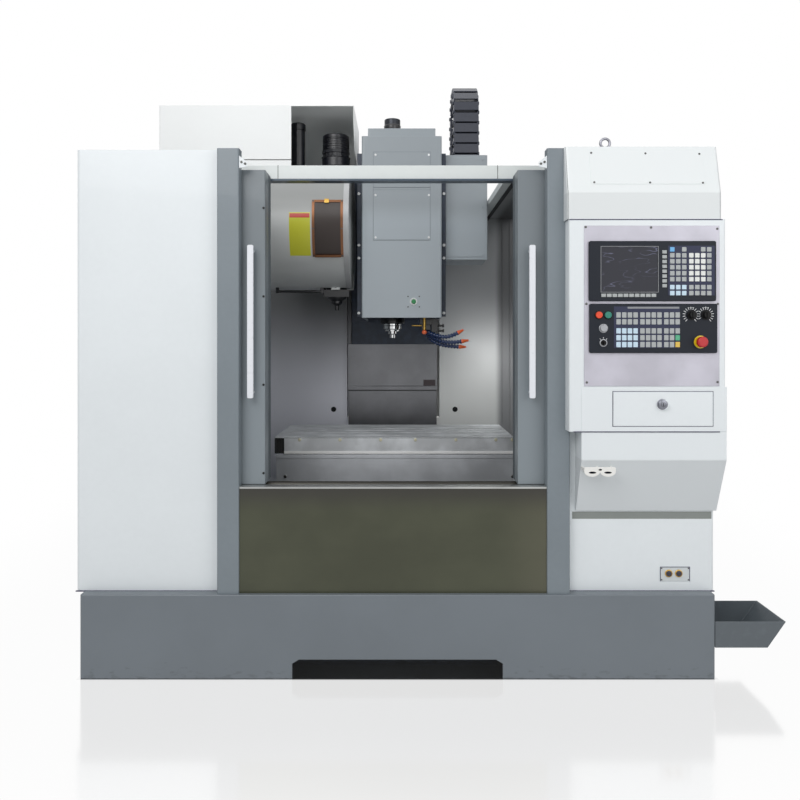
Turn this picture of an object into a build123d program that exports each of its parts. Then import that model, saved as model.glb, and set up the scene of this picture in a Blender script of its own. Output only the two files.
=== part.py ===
"""A vertical machining centre in its full enclosure, built as its separate pieces.

Sizes are in millimetres. X runs to the operator's right, Y away from the operator and Z up.
The origin lies on the floor under the middle of the machine's box. Places are worked out from
the middle of the base's front face, which stands at mid_x and front_y in that frame.
"""

import os
from math import cos, pi, radians, sin

from build123d import *

os.makedirs("parts", exist_ok=True)

# The base tray and what stands out past it on each side
base_width = 2290
base_depth = 1750
base_height = 302
base_wall = 6
base_corner = 10
rim_width = 50
rim_thickness = 5
pan_height = 90
dam_height = 250
notch_width = 758
notch_height = 68
notch_chamfer = 24
cover_overhang = 33
right_overhang = 16
chute_reach = 255
chute_front = 2
chute_width = 225
chute_bottom = 111
chute_top = 205
front_reach = 90
back_reach = 2250
mid_x = (cover_overhang - chute_reach) / 2
front_y = (front_reach - back_reach) / 2

# Clearances
flat_gap = 0.3
running_gap = 0.05
sliding_gap = 0.5

# The spindle's axis, which is also the middle of the bed and of the column
spindle_x = -28
spindle_y = 960

# The bed, its feet and the column
bed_front = 340
bed_width = 860
bed_top_width = 700
bed_top = 430
bed_wall = 45
foot_height = 25
foot_radius = 60
column_front = 1530
column_back = 2080
column_width = 470
column_foot_width = 620
column_foot_height = 90
column_waist = 780
column_top = 2180
column_wall = 40
bed_back = column_back

# Linear guides
rail_width = 45
rail_height = 40
block_width = 110
block_length = 120
y_rail_spacing = 620
y_rail_start = 390
y_rail_length = 1050
z_rail_spacing = 340
z_rail_start = 700
z_rail_length = 1450
x_rail_spacing = 368
screw_radius = 19
screw_height = 54

# The saddle and the table
table_length = 1000
table_width = 500
table_thickness = 72
table_top = 797
table_x = 5
table_y = 824
slot_count = 5
slot_pitch = 90
slot_width = 18
slot_mouth = 15
slot_foot_width = 30
slot_foot_depth = 13
saddle_length = 1070
table_block_gap = 26
saddle_width = 460
saddle_bottom = 520
saddle_top = 640
bellows_width = 580
bellows_front = 362
bellows_back = 1458
bellows_bottom = 522
bellows_top = 556
bellows_fold = 14
bellows_plate = 8
guard_width = 1070
guard_bottom = 604
wiper_length = 42
wiper_ribs = 6

# The enclosure
sheet = 3
post_front = 12
post_depth = 48
post_top = 1914
left_post_width = 80
right_post_width = 83
opening_left = -573.5
opening_right = 541
cover_front = 50
cover_top = 1917
cover_corner = 14
apron_front = 20
apron_top = 687
sill_depth = 44
channel_drop = 19
channel_back = 190
right_cover_top = 1900
rear_wall_front = 1490
rear_wall_bottom = 330
wall_opening_margin = 20.3
closing_depth = 52
beam_front = 200
beam_depth = 41
beam_bottom = 1840
beam_height = 54
roof_rail_width = 34
roof_rail_height = 30
left_roof_rail = -720
right_roof_rail = 432

# The sliding doors
door_front = 67
door_depth = 115
door_sheet = 2
door_width = 590
door_top = 1847
left_door_edge = -488
right_door_edge = 443
door_lip = 22
handle_length = 558
handle_width = 22
handle_thickness = 10
handle_reach = 40
handle_bottom = 1008
handle_inset = 48
handle_post_radius = 8
door_window_inset = 100
door_window_width = 390
door_window_bottom = 890
door_window_height = 720
door_window_corner = 30
pane_thickness = 6
pane_lap = 14

# The spindle head
head_width = 260
nose_height = 1230
head_front = 830
head_bottom = nose_height + 100
head_top = nose_height + 590
cover_left = -168
cover_right = 202
head_cover_front = 780
head_cover_back = 1440
head_cover_bottom = nose_height + 93
head_cover_top = nose_height + 932
head_step = 43
head_step_inset = 28
box_width = 222
box_front = 880
box_depth = 270
box_bottom = nose_height + 372
box_top = nose_height + 868
nose_radius = 29
flange_radius = 58
cartridge_radius = 50
taper_mouth_radius = 22.225
cylinder_radius = 38.5
cylinder_top = nose_height + 1057
release_x = 72
release_z = nose_height + 167
release_radius = 10
release_ring_radius = 17.5
release_proud = 9

# The cable chain
chain_width = 134
chain_thickness = 60
chain_bend = 125
chain_core_width = 104
chain_core_thickness = 44
chain_pitch = 50
chain_link_length = 44
chain_front = 955
chain_x = 328
chain_top_links = 4
chain_bend_links = 8
chain_rear_links = 11
chain_foot = 18

# The telescopic way cover on the column, from the head down
way_cover_width = 491
way_cover_x = -32.5
way_sheet = 3
way_lip = 24
upper_plate_bottom = 943
upper_plate_top = 1197
middle_plate_bottom = 740
middle_plate_top = 1070
lower_plate_bottom = 540
lower_plate_top = 870
fixed_plate_top = 680
way_cover_front = 1472

# The tool magazine
drum_radius = 290
drum_left = -640
drum_right = -219
drum_y = 930
drum_z = 1750
drum_wall = 4
rim_band = 24
pot_pin_radius = 8
pot_lug = 8
pot_circle = 225
pot_count = 16
pot_radius = 33
pot_length = 100
carousel_disc_x = -560
carousel_disc_thickness = 20
carousel_shaft_radius = 25
flip_pot_x = -295
flip_pot_z = 1474
flip_pot_radius = 48
flip_pot_length = 112
window_left = -382
window_right = -244
window_low_angle = 32
window_high_angle = 18.5
window_frame = 11
hood_left = -1100
hood_right = -204
hood_front = 770
hood_front_right = -492
hood_bottom = 2048
hood_top = 2300
bracket_front = 1222
bracket_bottom = 1560
bracket_thickness = 20

# The control cabinet on the right
cabinet_left = 607
cabinet_right = base_width / 2 + right_overhang
cabinet_front = -48
cabinet_bottom = 896
cabinet_top = 1648
hood_cap_left = 601
hood_cap_right = cabinet_right - 13
sign_bottom = 1742
sign_slope = 43
hood_cap_top = 1915
panel_left = 660
panel_right = cabinet_right - 23
panel_bottom = 1057
panel_top = 1624
unit_proud = 10
key_proud = 2.5


def level(z):
    """The horizontal plane at height z, seen from above."""
    return Plane(origin=(mid_x, front_y, z), x_dir=(1, 0, 0), z_dir=(0, 0, 1))


def front(y):
    """The upright plane y behind the base's front face, facing the operator."""
    return Plane(origin=(mid_x, front_y + y, 0), x_dir=(1, 0, 0), z_dir=(0, -1, 0))


def upright(x, y):
    """The upright plane facing the operator, its origin on the vertical line at x and y."""
    return Plane(origin=(mid_x + x, front_y + y, 0), x_dir=(1, 0, 0), z_dir=(0, -1, 0))


def side(x):
    """The upright plane x to the right of the base's middle, facing right."""
    return Plane(origin=(mid_x + x, front_y, 0), x_dir=(0, 1, 0), z_dir=(1, 0, 0))


def span(a0, a1, b0, b1, mode=Mode.ADD):
    """A rectangle from corner to corner in the open sketch."""
    with Locations(((a0 + a1) / 2, (b0 + b1) / 2)):
        Rectangle(a1 - a0, b1 - b0, mode=mode)


def disc(a, b, radius, mode=Mode.ADD):
    """A circle at a point of the open sketch."""
    with Locations((a, b)):
        Circle(radius, mode=mode)


def block(x0, x1, y0, y1, z0, z1, mode=Mode.ADD):
    """A box from corner to corner in the open part."""
    centre = (mid_x + (x0 + x1) / 2, front_y + (y0 + y1) / 2, (z0 + z1) / 2)
    with Locations(centre):
        Box(x1 - x0, y1 - y0, z1 - z0, mode=mode)


def post(x, y, z0, z1, radius, mode=Mode.ADD):
    """An upright cylinder in the open part."""
    with Locations((mid_x + x, front_y + y, (z0 + z1) / 2)):
        Cylinder(radius, z1 - z0, mode=mode)


pieces = {}

# The bed: a ribbed iron casting, hollow from below, with pads for the Y guides
bed_left = spindle_x - bed_width / 2
bed_right = spindle_x + bed_width / 2
rail_pad = 10
with BuildPart() as bed:
    with BuildSketch(front(bed_front)):
        with BuildLine():
            Polyline(
                (bed_left, foot_height),
                (bed_right, foot_height),
                (bed_right, bed_top - 80),
                (spindle_x + bed_top_width / 2, bed_top),
                (spindle_x - bed_top_width / 2, bed_top),
                (bed_left, bed_top - 80),
                close=True,
            )
        make_face()
    extrude(amount=-(bed_back - bed_front))
    bays = 3
    bay_length = (bed_back - bed_front - bed_wall * (bays + 1)) / bays
    for bay in range(bays):
        bay_start = bed_front + bed_wall + bay * (bay_length + bed_wall)
        block(
            bed_left + bed_wall,
            bed_right - bed_wall,
            bay_start,
            bay_start + bay_length,
            foot_height,
            bed_top - 80 - bed_wall,
            mode=Mode.SUBTRACT,
        )
    for way in (-1, 1):
        rail_x = spindle_x + way * y_rail_spacing / 2
        block(
            rail_x - rail_width / 2 - rail_pad,
            rail_x + rail_width / 2 + rail_pad,
            y_rail_start,
            y_rail_start + y_rail_length,
            bed_top,
            bed_top + rail_pad,
        )
    for plate_y in (bellows_front - bellows_plate, bellows_back):
        block(
            spindle_x - bellows_width / 2,
            spindle_x + bellows_width / 2,
            plate_y,
            plate_y + bellows_plate,
            bed_top,
            bellows_top,
        )
pieces["bed"] = bed

# Six levelling feet: a pad, and a screw that ends at the bed's underside
with BuildPart() as levelling_feet:
    for foot_y in (bed_front + 90, (bed_front + bed_back) / 2, bed_back - 90):
        for way in (-1, 1):
            foot_x = spindle_x + way * (bed_width / 2 - bed_wall / 2)
            post(foot_x, foot_y, 0, foot_height * 0.6, foot_radius)
            post(foot_x, foot_y, foot_height * 0.6, foot_height, foot_radius * 0.4)
pieces["levelling_feet"] = levelling_feet

# The base tray: a welded sheet skirt round the bed, with a chip and coolant pan inside
with BuildPart() as base_tray:
    half = base_width / 2
    with BuildSketch(level(0)):
        span(-half, half, 0, base_depth)
    extrude(amount=base_height)
    fillet(base_tray.edges().filter_by(Axis.Z), base_corner)
    with BuildSketch(level(base_height)):
        span(-half + base_wall, half - base_wall, base_wall, base_depth - base_wall)
    extrude(amount=-(base_height - pan_height), mode=Mode.SUBTRACT)
    with BuildSketch(level(0)):
        span(-half + base_wall, half - base_wall, base_wall, base_depth - base_wall)
    extrude(amount=pan_height - base_wall, mode=Mode.SUBTRACT)
    with BuildSketch(level(base_height)):
        span(-half + base_wall, half - base_wall, base_wall, base_depth - base_wall)
        span(
            -half + rim_width,
            half - rim_width,
            rim_width,
            base_depth - rim_width,
            mode=Mode.SUBTRACT,
        )
    extrude(amount=-rim_thickness)
    bed_margin = 16
    dam = (bed_left - bed_margin, bed_right + bed_margin, bed_front - bed_margin)
    with BuildSketch(level(pan_height)):
        span(dam[0] - base_wall, dam[1] + base_wall, dam[2] - base_wall, base_depth - base_wall)
    extrude(amount=dam_height - pan_height)
    with BuildSketch(level(0)):
        span(dam[0], dam[1], dam[2], base_depth)
    extrude(amount=base_height, mode=Mode.SUBTRACT)
    with BuildSketch(front(0)):
        with BuildLine():
            notch_half = notch_width / 2
            Polyline(
                (-notch_half, 0),
                (-notch_half, notch_height - notch_chamfer * 0.6),
                (-notch_half + notch_chamfer, notch_height),
                (notch_half - notch_chamfer, notch_height),
                (notch_half, notch_height - notch_chamfer * 0.6),
                (notch_half, 0),
                close=True,
            )
        make_face()
    extrude(amount=-base_wall, mode=Mode.SUBTRACT)
    block(
        half - base_wall,
        half,
        chute_front + 12,
        chute_front + chute_width - 12,
        chute_bottom + 8,
        chute_top - 8,
        mode=Mode.SUBTRACT,
    )
pieces["base_tray"] = base_tray

# The Y guides on the bed, with the ball screw between them in its bearing blocks
y_rail_bottom = bed_top + rail_pad
y_rail_top = y_rail_bottom + rail_height
with BuildPart() as y_ways:
    for way in (-1, 1):
        rail_x = spindle_x + way * y_rail_spacing / 2
        block(
            rail_x - rail_width / 2,
            rail_x + rail_width / 2,
            y_rail_start,
            y_rail_start + y_rail_length,
            y_rail_bottom,
            y_rail_top,
        )
    chamfer(y_ways.edges().filter_by(Axis.Y).group_by(Axis.Z)[-1], 4)
    y_screw_z = bed_top + screw_height
    with BuildSketch(front(y_rail_start)):
        disc(spindle_x, y_screw_z, screw_radius)
    extrude(amount=-y_rail_length)
    for screw_end in (y_rail_start, y_rail_start + y_rail_length - 60):
        block(spindle_x - 55, spindle_x + 55, screw_end, screw_end + 60, bed_top, y_screw_z + 34)
pieces["y_ways"] = y_ways

# The column: a tapered casting open at the back between its ribs, with two brackets on its sides
column_half = column_width / 2
with BuildPart() as column:
    with BuildSketch(front(column_front)):
        with BuildLine():
            foot_half = column_foot_width / 2
            Polyline(
                (spindle_x - foot_half, bed_top),
                (spindle_x + foot_half, bed_top),
                (spindle_x + foot_half, bed_top + column_foot_height),
                (spindle_x + column_half, column_waist),
                (spindle_x + column_half, column_top),
                (spindle_x - column_half, column_top),
                (spindle_x - column_half, column_waist),
                (spindle_x - foot_half, bed_top + column_foot_height),
                close=True,
            )
        make_face()
    extrude(amount=-(column_back - column_front))
    rib_count = 4
    rib = column_wall * 0.6
    bay_bottom = bed_top + column_foot_height
    bay_height = (column_top - column_wall - bay_bottom - rib * (rib_count - 1)) / rib_count
    for bay in range(rib_count):
        low = bay_bottom + bay * (bay_height + rib)
        block(
            spindle_x - column_half + column_wall,
            spindle_x + column_half - column_wall,
            column_front + column_wall,
            column_back,
            low,
            low + bay_height,
            mode=Mode.SUBTRACT,
        )
    # The magazine's bracket: a side plate bolted to the column and a plate across to the drum
    side_left = spindle_x - column_half - bracket_thickness
    side_right = spindle_x - column_half
    with BuildSketch(side(side_left)):
        with BuildLine():
            Polyline(
                (bracket_front, bracket_bottom),
                (column_front + 330, bracket_bottom),
                (column_front + 330, 2020),
                (column_front, 2100),
                (bracket_front, 2100),
                close=True,
            )
        make_face()
    extrude(amount=bracket_thickness)
    with BuildSketch(front(bracket_front)):
        with BuildLine():
            Polyline(
                (drum_left, 1600),
                (side_left, bracket_bottom),
                (side_left, hood_top - sheet),
                (drum_left, hood_top - sheet),
                close=True,
            )
        make_face()
        disc(-440, 1930, 90, mode=Mode.SUBTRACT)
    extrude(amount=-bracket_thickness)
    # The chain's bracket: an angle from the column's right side to the chain's fixed end
    chain_rear = chain_front + 2 * chain_bend
    chain_end_z = box_top + chain_pitch * (chain_top_links - chain_rear_links)
    chain_half = chain_width / 2
    block(
        spindle_x + column_half,
        spindle_x + column_half + 12,
        chain_rear + chain_thickness / 2,
        column_front + 160,
        chain_end_z - 130,
        chain_end_z + 60,
    )
    block(
        spindle_x + column_half,
        chain_x + chain_half,
        chain_rear + chain_thickness / 2,
        chain_rear + chain_thickness / 2 + 12,
        chain_end_z - 130,
        chain_end_z + 60,
    )
pieces["column"] = column

# The Z guides and ball screw on the column, and the fixed plate of its way cover
z_rail_front = column_front - rail_height
with BuildPart() as z_ways:
    for way in (-1, 1):
        rail_x = spindle_x + way * z_rail_spacing / 2
        block(
            rail_x - rail_width / 2,
            rail_x + rail_width / 2,
            z_rail_front,
            column_front,
            z_rail_start,
            z_rail_start + z_rail_length,
        )
    chamfer(z_ways.edges().filter_by(Axis.Z).group_by(Axis.Y)[0], 4)
    z_screw_y = column_front - rail_height / 2
    post(spindle_x, z_screw_y, z_rail_start, z_rail_start + z_rail_length, screw_radius)
    for screw_end in (z_rail_start, z_rail_start + z_rail_length - 50):
        block(
            spindle_x - 50,
            spindle_x + 50,
            z_rail_front,
            column_front,
            screw_end,
            screw_end + 50,
        )


def way_plate(number, low, high, lip):
    """One plate of the column's way cover, with a folded wiper lip along its lower edge."""
    plate_front = way_cover_front + number * (way_sheet + sliding_gap)
    plate_left = way_cover_x - way_cover_width / 2 + number * 2
    plate_right = way_cover_x + way_cover_width / 2 - number * 2
    with BuildPart() as plate:
        block(plate_left, plate_right, plate_front, plate_front + way_sheet, low, high)
        if lip:
            block(plate_left, plate_right, plate_front - 5, plate_front, low, low + way_lip)
            chamfer(plate.edges().filter_by(Axis.X).group_by(Axis.Y)[0], 2)
    return plate


pieces["z_cover_upper"] = way_plate(0, upper_plate_bottom, upper_plate_top, True)
pieces["z_cover_middle"] = way_plate(1, middle_plate_bottom, middle_plate_top, False)
pieces["z_cover_lower"] = way_plate(2, lower_plate_bottom, lower_plate_top, False)
fixed_plate = way_plate(3, bed_top, fixed_plate_top, False)
with z_ways:
    add(fixed_plate.part)
pieces["z_ways"] = z_ways

# The saddle: a casting that runs on the Y guides and carries the X guides
saddle_front = table_y - saddle_width / 2
saddle_back = table_y + saddle_width / 2
saddle_left = table_x - saddle_length / 2
saddle_right = table_x + saddle_length / 2
with BuildPart() as saddle:
    with BuildSketch(front(saddle_front)):
        with BuildLine():
            carriage_half = y_rail_spacing / 2 + block_width / 2
            Polyline(
                (spindle_x - carriage_half, saddle_bottom),
                (spindle_x + carriage_half, saddle_bottom),
                (saddle_right, saddle_top - 70),
                (saddle_right, saddle_top),
                (saddle_left, saddle_top),
                (saddle_left, saddle_top - 70),
                close=True,
            )
        make_face()
    extrude(amount=-saddle_width)
    for way in (-1, 1):
        rail_x = spindle_x + way * y_rail_spacing / 2
        for block_y in (saddle_front + 20, saddle_back - 20 - block_length):
            block(
                rail_x - block_width / 2,
                rail_x + block_width / 2,
                block_y,
                block_y + block_length,
                y_rail_bottom + 14,
                saddle_bottom,
            )
    for way in (-1, 1):
        rail_x = spindle_x + way * y_rail_spacing / 2
        block(
            rail_x - rail_width / 2 - flat_gap,
            rail_x + rail_width / 2 + flat_gap,
            saddle_front,
            saddle_back,
            y_rail_bottom,
            y_rail_top + flat_gap,
            mode=Mode.SUBTRACT,
        )
    block(
        spindle_x - 48,
        spindle_x + 48,
        table_y - 70,
        table_y + 70,
        y_screw_z - 40,
        saddle_bottom,
    )
    with BuildSketch(front(saddle_front)):
        disc(spindle_x, y_screw_z, screw_radius + running_gap)
    extrude(amount=-saddle_width, mode=Mode.SUBTRACT)
pieces["saddle"] = saddle

# The X guides and ball screw on the saddle
x_rail_top = saddle_top + rail_height
x_screw_z = saddle_top + 32
with BuildPart() as x_ways:
    for way in (-1, 1):
        rail_y = table_y + way * x_rail_spacing / 2
        block(
            saddle_left,
            saddle_right,
            rail_y - rail_width / 2,
            rail_y + rail_width / 2,
            saddle_top,
            x_rail_top,
        )
    chamfer(x_ways.edges().filter_by(Axis.X).group_by(Axis.Z)[-1], 4)
    with BuildSketch(side(saddle_left)):
        disc(table_y, x_screw_z, screw_radius)
    extrude(amount=saddle_length)
    for screw_end in (saddle_left, saddle_right - 50):
        block(
            screw_end,
            screw_end + 50,
            table_y - 50,
            table_y + 50,
            saddle_top,
            x_screw_z + 32,
        )
pieces["x_ways"] = x_ways

# The saddle's front guard: a folded steel sheet as wide as the table's way
table_front = table_y - table_width / 2
table_back = table_y + table_width / 2
table_bottom = table_top - table_thickness
with BuildPart() as saddle_guard:
    guard_left = table_x - guard_width / 2
    guard_front = table_front + 1
    guard_top = table_bottom - 3
    with BuildSketch(side(guard_left)):
        with BuildLine():
            Polyline(
                (guard_front, guard_top),
                (guard_front, guard_bottom),
                (saddle_front, guard_bottom),
                (saddle_front, guard_bottom + sheet),
                (guard_front + sheet, guard_bottom + sheet),
                (guard_front + sheet, guard_top),
                close=True,
            )
        make_face()
    extrude(amount=guard_width)
    block(
        guard_left,
        guard_left + guard_width,
        guard_front - sheet,
        guard_front,
        guard_top - 16,
        guard_top,
    )
pieces["saddle_guard"] = saddle_guard

# The table: a plate with T-slots along X, its guide blocks and the nut of the ball screw
table_left = table_x - table_length / 2
table_right = table_x + table_length / 2
with BuildPart() as table:
    with BuildSketch(side(table_left)):
        span(table_front, table_back, table_bottom, table_top)
        for slot in range(slot_count):
            slot_y = table_y + (slot - (slot_count - 1) / 2) * slot_pitch
            span(
                slot_y - slot_width / 2,
                slot_y + slot_width / 2,
                table_top - slot_mouth,
                table_top,
                mode=Mode.SUBTRACT,
            )
            span(
                slot_y - slot_foot_width / 2,
                slot_y + slot_foot_width / 2,
                table_top - slot_mouth - slot_foot_depth,
                table_top - slot_mouth,
                mode=Mode.SUBTRACT,
            )
    extrude(amount=table_length)
    for way in (-1, 1):
        rail_y = table_y + way * x_rail_spacing / 2
        for block_x in (table_x - table_block_gap / 2 - block_length, table_x + table_block_gap / 2):
            block(
                block_x,
                block_x + block_length,
                rail_y - block_width / 2,
                rail_y + block_width / 2,
                saddle_top + 12,
                table_bottom,
            )
        block(
            table_left,
            table_right,
            rail_y - rail_width / 2 - flat_gap,
            rail_y + rail_width / 2 + flat_gap,
            saddle_top,
            x_rail_top + flat_gap,
            mode=Mode.SUBTRACT,
        )
    block(table_x - 60, table_x + 60, table_y - 42, table_y + 42, x_screw_z - 28, table_bottom)
    with BuildSketch(side(table_left)):
        disc(table_y, x_screw_z, screw_radius + running_gap)
    extrude(amount=table_length, mode=Mode.SUBTRACT)
pieces["table"] = table

# The ribbed rubber wiper on the table's left end
with BuildPart() as table_wiper:
    rib_pitch = wiper_length / wiper_ribs
    with BuildSketch(level(table_bottom)):
        span(table_left - wiper_length, table_left, table_front + 6, table_back - 6)
    extrude(amount=table_thickness - 4)
    for groove in range(wiper_ribs):
        groove_x = table_left - wiper_length + (groove + 0.5) * rib_pitch
        with BuildSketch(front(table_front + 6)):
            span(groove_x - rib_pitch / 4, groove_x + rib_pitch / 4, table_bottom, table_top)
        extrude(amount=-8, mode=Mode.SUBTRACT)
        with BuildSketch(level(table_top - 4)):
            span(
                groove_x - rib_pitch / 4,
                groove_x + rib_pitch / 4,
                table_front,
                table_back,
            )
        extrude(amount=-8, mode=Mode.SUBTRACT)
pieces["table_wiper"] = table_wiper


def bellows(start, end, folds):
    """The outline of a folded way cover along Y, seen from the side."""
    pitch = (end - start) / folds
    outer = [(start, bellows_top - bellows_fold)]
    for fold in range(folds):
        outer.append((start + (fold + 0.5) * pitch, bellows_top))
        outer.append((start + (fold + 1) * pitch, bellows_top - bellows_fold))
    return [(start, bellows_bottom), *outer, (end, bellows_bottom)]


# The folded rubber way covers before and behind the saddle
with BuildPart() as y_bellows:
    for bellows_start, bellows_end, fold_count in (
        (bellows_front, saddle_front, 9),
        (saddle_back, bellows_back, 14),
    ):
        with BuildSketch(side(spindle_x - bellows_width / 2)):
            with BuildLine():
                Polyline(*bellows(bellows_start, bellows_end, fold_count), close=True)
            make_face()
        extrude(amount=bellows_width)
pieces["y_bellows"] = y_bellows


def folded(points, radius, thickness):
    """A folded sheet in the open sketch, along the middle line given by its points."""
    with BuildLine() as path:
        FilletPolyline(*points, radius=radius)
    trace(path.line, line_width=thickness)


# The left cover: one sheet folded round the front, the side and the back
mid_sheet = sheet / 2
left_end = -base_width / 2 - cover_overhang
right_end = base_width / 2 + right_overhang
with BuildPart() as left_cover:
    with BuildSketch(level(base_height)):
        folded(
            [
                (opening_left - left_post_width, cover_front + mid_sheet),
                (left_end + mid_sheet, cover_front + mid_sheet),
                (left_end + mid_sheet, base_depth - mid_sheet),
                (bed_left - 10, base_depth - mid_sheet),
            ],
            cover_corner,
            sheet,
        )
    extrude(amount=cover_top - base_height)
pieces["left_cover"] = left_cover

# The right cover: the same at the machine's right side
with BuildPart() as right_cover:
    with BuildSketch(level(base_height)):
        folded(
            [
                (opening_right + right_post_width, cover_front + mid_sheet),
                (right_end - mid_sheet, cover_front + mid_sheet),
                (right_end - mid_sheet, base_depth - mid_sheet),
                (bed_right + 10, base_depth - mid_sheet),
            ],
            cover_corner,
            sheet,
        )
    extrude(amount=right_cover_top - base_height)
pieces["right_cover"] = right_cover

# The wall behind the working space, on each side of the column
wall_open_left = spindle_x - column_half - wall_opening_margin
wall_open_right = spindle_x + column_half + wall_opening_margin
with BuildPart() as rear_wall:
    with BuildSketch(front(rear_wall_front)):
        span(left_end + sheet, wall_open_left, rear_wall_bottom, beam_bottom + beam_height)
        span(wall_open_right, right_end - sheet, rear_wall_bottom, beam_bottom + beam_height)
        span(bed_left - 5, bed_right + 5, rear_wall_bottom, bed_top, mode=Mode.SUBTRACT)
        for hole_x in (-359, 314):
            disc(hole_x, 836, 12, mode=Mode.SUBTRACT)
    extrude(amount=-sheet)
    # The wall is folded back beside the column and in to its flanks, round the two brackets
    closing_bottom = column_waist + 10
    closing_back = rear_wall_front + closing_depth
    wall_top = beam_bottom + beam_height
    for wall_edge, closing_way, closing_runs in (
        (wall_open_left, 1, [(closing_bottom, bracket_bottom - flat_gap)]),
        (
            wall_open_right,
            -1,
            [
                (closing_bottom, chain_end_z - 130 - flat_gap),
                (chain_end_z + 60 + flat_gap, wall_top),
            ],
        ),
    ):
        lip_x = wall_edge - closing_way * sheet
        block(
            min(lip_x, wall_edge),
            max(lip_x, wall_edge),
            rear_wall_front,
            closing_back + sheet,
            closing_bottom,
            wall_top,
        )
        flank_x = wall_edge + closing_way * (wall_opening_margin - flat_gap)
        for run_bottom, run_top in closing_runs:
            block(
                min(lip_x, flank_x),
                max(lip_x, flank_x),
                closing_back,
                closing_back + sheet,
                run_bottom,
                run_top,
            )
pieces["rear_wall"] = rear_wall


def channel_post(x0, x1):
    """A front post: a folded channel with a closed top."""
    with BuildPart() as channel:
        with BuildSketch(level(base_height)):
            folded(
                [
                    (x0 + mid_sheet, post_front + post_depth),
                    (x0 + mid_sheet, post_front + mid_sheet),
                    (x1 - mid_sheet, post_front + mid_sheet),
                    (x1 - mid_sheet, post_front + post_depth),
                ],
                4,
                sheet,
            )
        extrude(amount=post_top - base_height)
        block(
            x0 + mid_sheet,
            x1 - mid_sheet,
            post_front + mid_sheet,
            post_front + post_depth,
            post_top - sheet,
            post_top,
        )
    return channel


pieces["left_post"] = channel_post(opening_left - left_post_width, opening_left)
pieces["right_post"] = channel_post(opening_right, opening_right + right_post_width)

# The stainless apron: front sheet, folded sill, the doors' channel and the chip slope behind
door_rail_width = 4
door_rail_y = door_front + door_depth / 2
channel_floor = apron_top - channel_drop
door_bottom = apron_top + 2
with BuildPart() as front_apron:
    with BuildSketch(side(opening_left)):
        folded(
            [
                (apron_front + mid_sheet, base_height),
                (apron_front + mid_sheet, apron_top - mid_sheet),
                (apron_front + sill_depth - mid_sheet, apron_top - mid_sheet),
            ],
            4,
            sheet,
        )
    extrude(amount=opening_right - opening_left)
    with BuildSketch(side(left_end + sheet + 1)):
        folded(
            [
                (apron_front + sill_depth - mid_sheet, apron_top),
                (apron_front + sill_depth - mid_sheet, channel_floor - mid_sheet),
                (channel_back, channel_floor - mid_sheet),
                (bed_front - 52, base_height + 4),
            ],
            4,
            sheet,
        )
        span(
            door_rail_y - door_rail_width / 2,
            door_rail_y + door_rail_width / 2,
            channel_floor - mid_sheet,
            door_bottom - flat_gap,
        )
    extrude(amount=right_end - left_end - 2 * sheet - 2)
pieces["front_apron"] = front_apron

# The top frame: a square tube over the doors and two roof rails back to the rear wall
beam_top = beam_bottom + beam_height
rail_top = beam_top
with BuildPart() as top_frame:
    with BuildSketch(side(left_end + sheet)):
        span(beam_front, beam_front + beam_depth, beam_bottom, beam_top)
        span(
            beam_front + sheet,
            beam_front + beam_depth - sheet,
            beam_bottom + sheet,
            beam_top - sheet,
            mode=Mode.SUBTRACT,
        )
    extrude(amount=right_end - left_end - 2 * sheet)
    for rail_left in (left_roof_rail, right_roof_rail):
        with BuildSketch(front(beam_front + beam_depth)):
            span(rail_left, rail_left + roof_rail_width, rail_top - roof_rail_height, rail_top)
            span(
                rail_left + sheet,
                rail_left + roof_rail_width - sheet,
                rail_top - roof_rail_height + sheet,
                rail_top - sheet,
                mode=Mode.SUBTRACT,
            )
        extrude(amount=-(rear_wall_front - beam_front - beam_depth))
pieces["top_frame"] = top_frame


def sliding_door(edge, way):
    """A sliding door: a folded sheet whose leading edge is at x = edge; way is its own side."""
    half_sheet = door_sheet / 2
    door_back = door_front + door_depth
    trail = edge + way * door_width
    with BuildPart() as door:
        with BuildSketch(level(door_bottom)):
            folded(
                [
                    (edge + way * door_lip, door_back - half_sheet),
                    (edge + way * half_sheet, door_back - half_sheet),
                    (edge + way * half_sheet, door_front + half_sheet),
                    (trail - way * half_sheet, door_front + half_sheet),
                    (trail - way * half_sheet, door_front + 40),
                ],
                3,
                door_sheet,
            )
        extrude(amount=door_top - door_bottom)
        low_x = min(edge, trail) + door_sheet
        high_x = max(edge, trail) - door_sheet
        for cap in (door_bottom, door_top - door_sheet):
            block(low_x, high_x, door_front + half_sheet, door_back - 40, cap, cap + door_sheet)
        window_x = edge + way * (door_window_inset + door_window_width / 2)
        window_z = door_window_bottom + door_window_height / 2
        with BuildSketch(front(door_front)):
            with Locations((window_x, window_z)):
                RectangleRounded(door_window_width, door_window_height, door_window_corner)
        extrude(amount=-(door_sheet + flat_gap / 2), mode=Mode.SUBTRACT)
        # The window's pane, held behind the sheet
        with BuildSketch(front(door_front + door_sheet + flat_gap)):
            with Locations((window_x, window_z)):
                RectangleRounded(
                    door_window_width + 2 * pane_lap,
                    door_window_height + 2 * pane_lap,
                    door_window_corner + pane_lap,
                )
        extrude(amount=-pane_thickness)
    return door


def door_handle(x):
    """A flat bar handle on two round posts, at x across the door's front."""
    handle_top = handle_bottom + handle_length
    with BuildPart() as handle:
        with BuildSketch(front(door_front - handle_reach)):
            with Locations((x, (handle_bottom + handle_top) / 2)):
                RectangleRounded(handle_width, handle_length, 5)
        extrude(amount=-handle_thickness)
        for post_z in (handle_bottom + 20, handle_top - 20):
            with BuildSketch(front(door_front - handle_reach + handle_thickness)):
                disc(x, post_z, handle_post_radius)
            extrude(amount=-(handle_reach - handle_thickness))
    return handle


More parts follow.
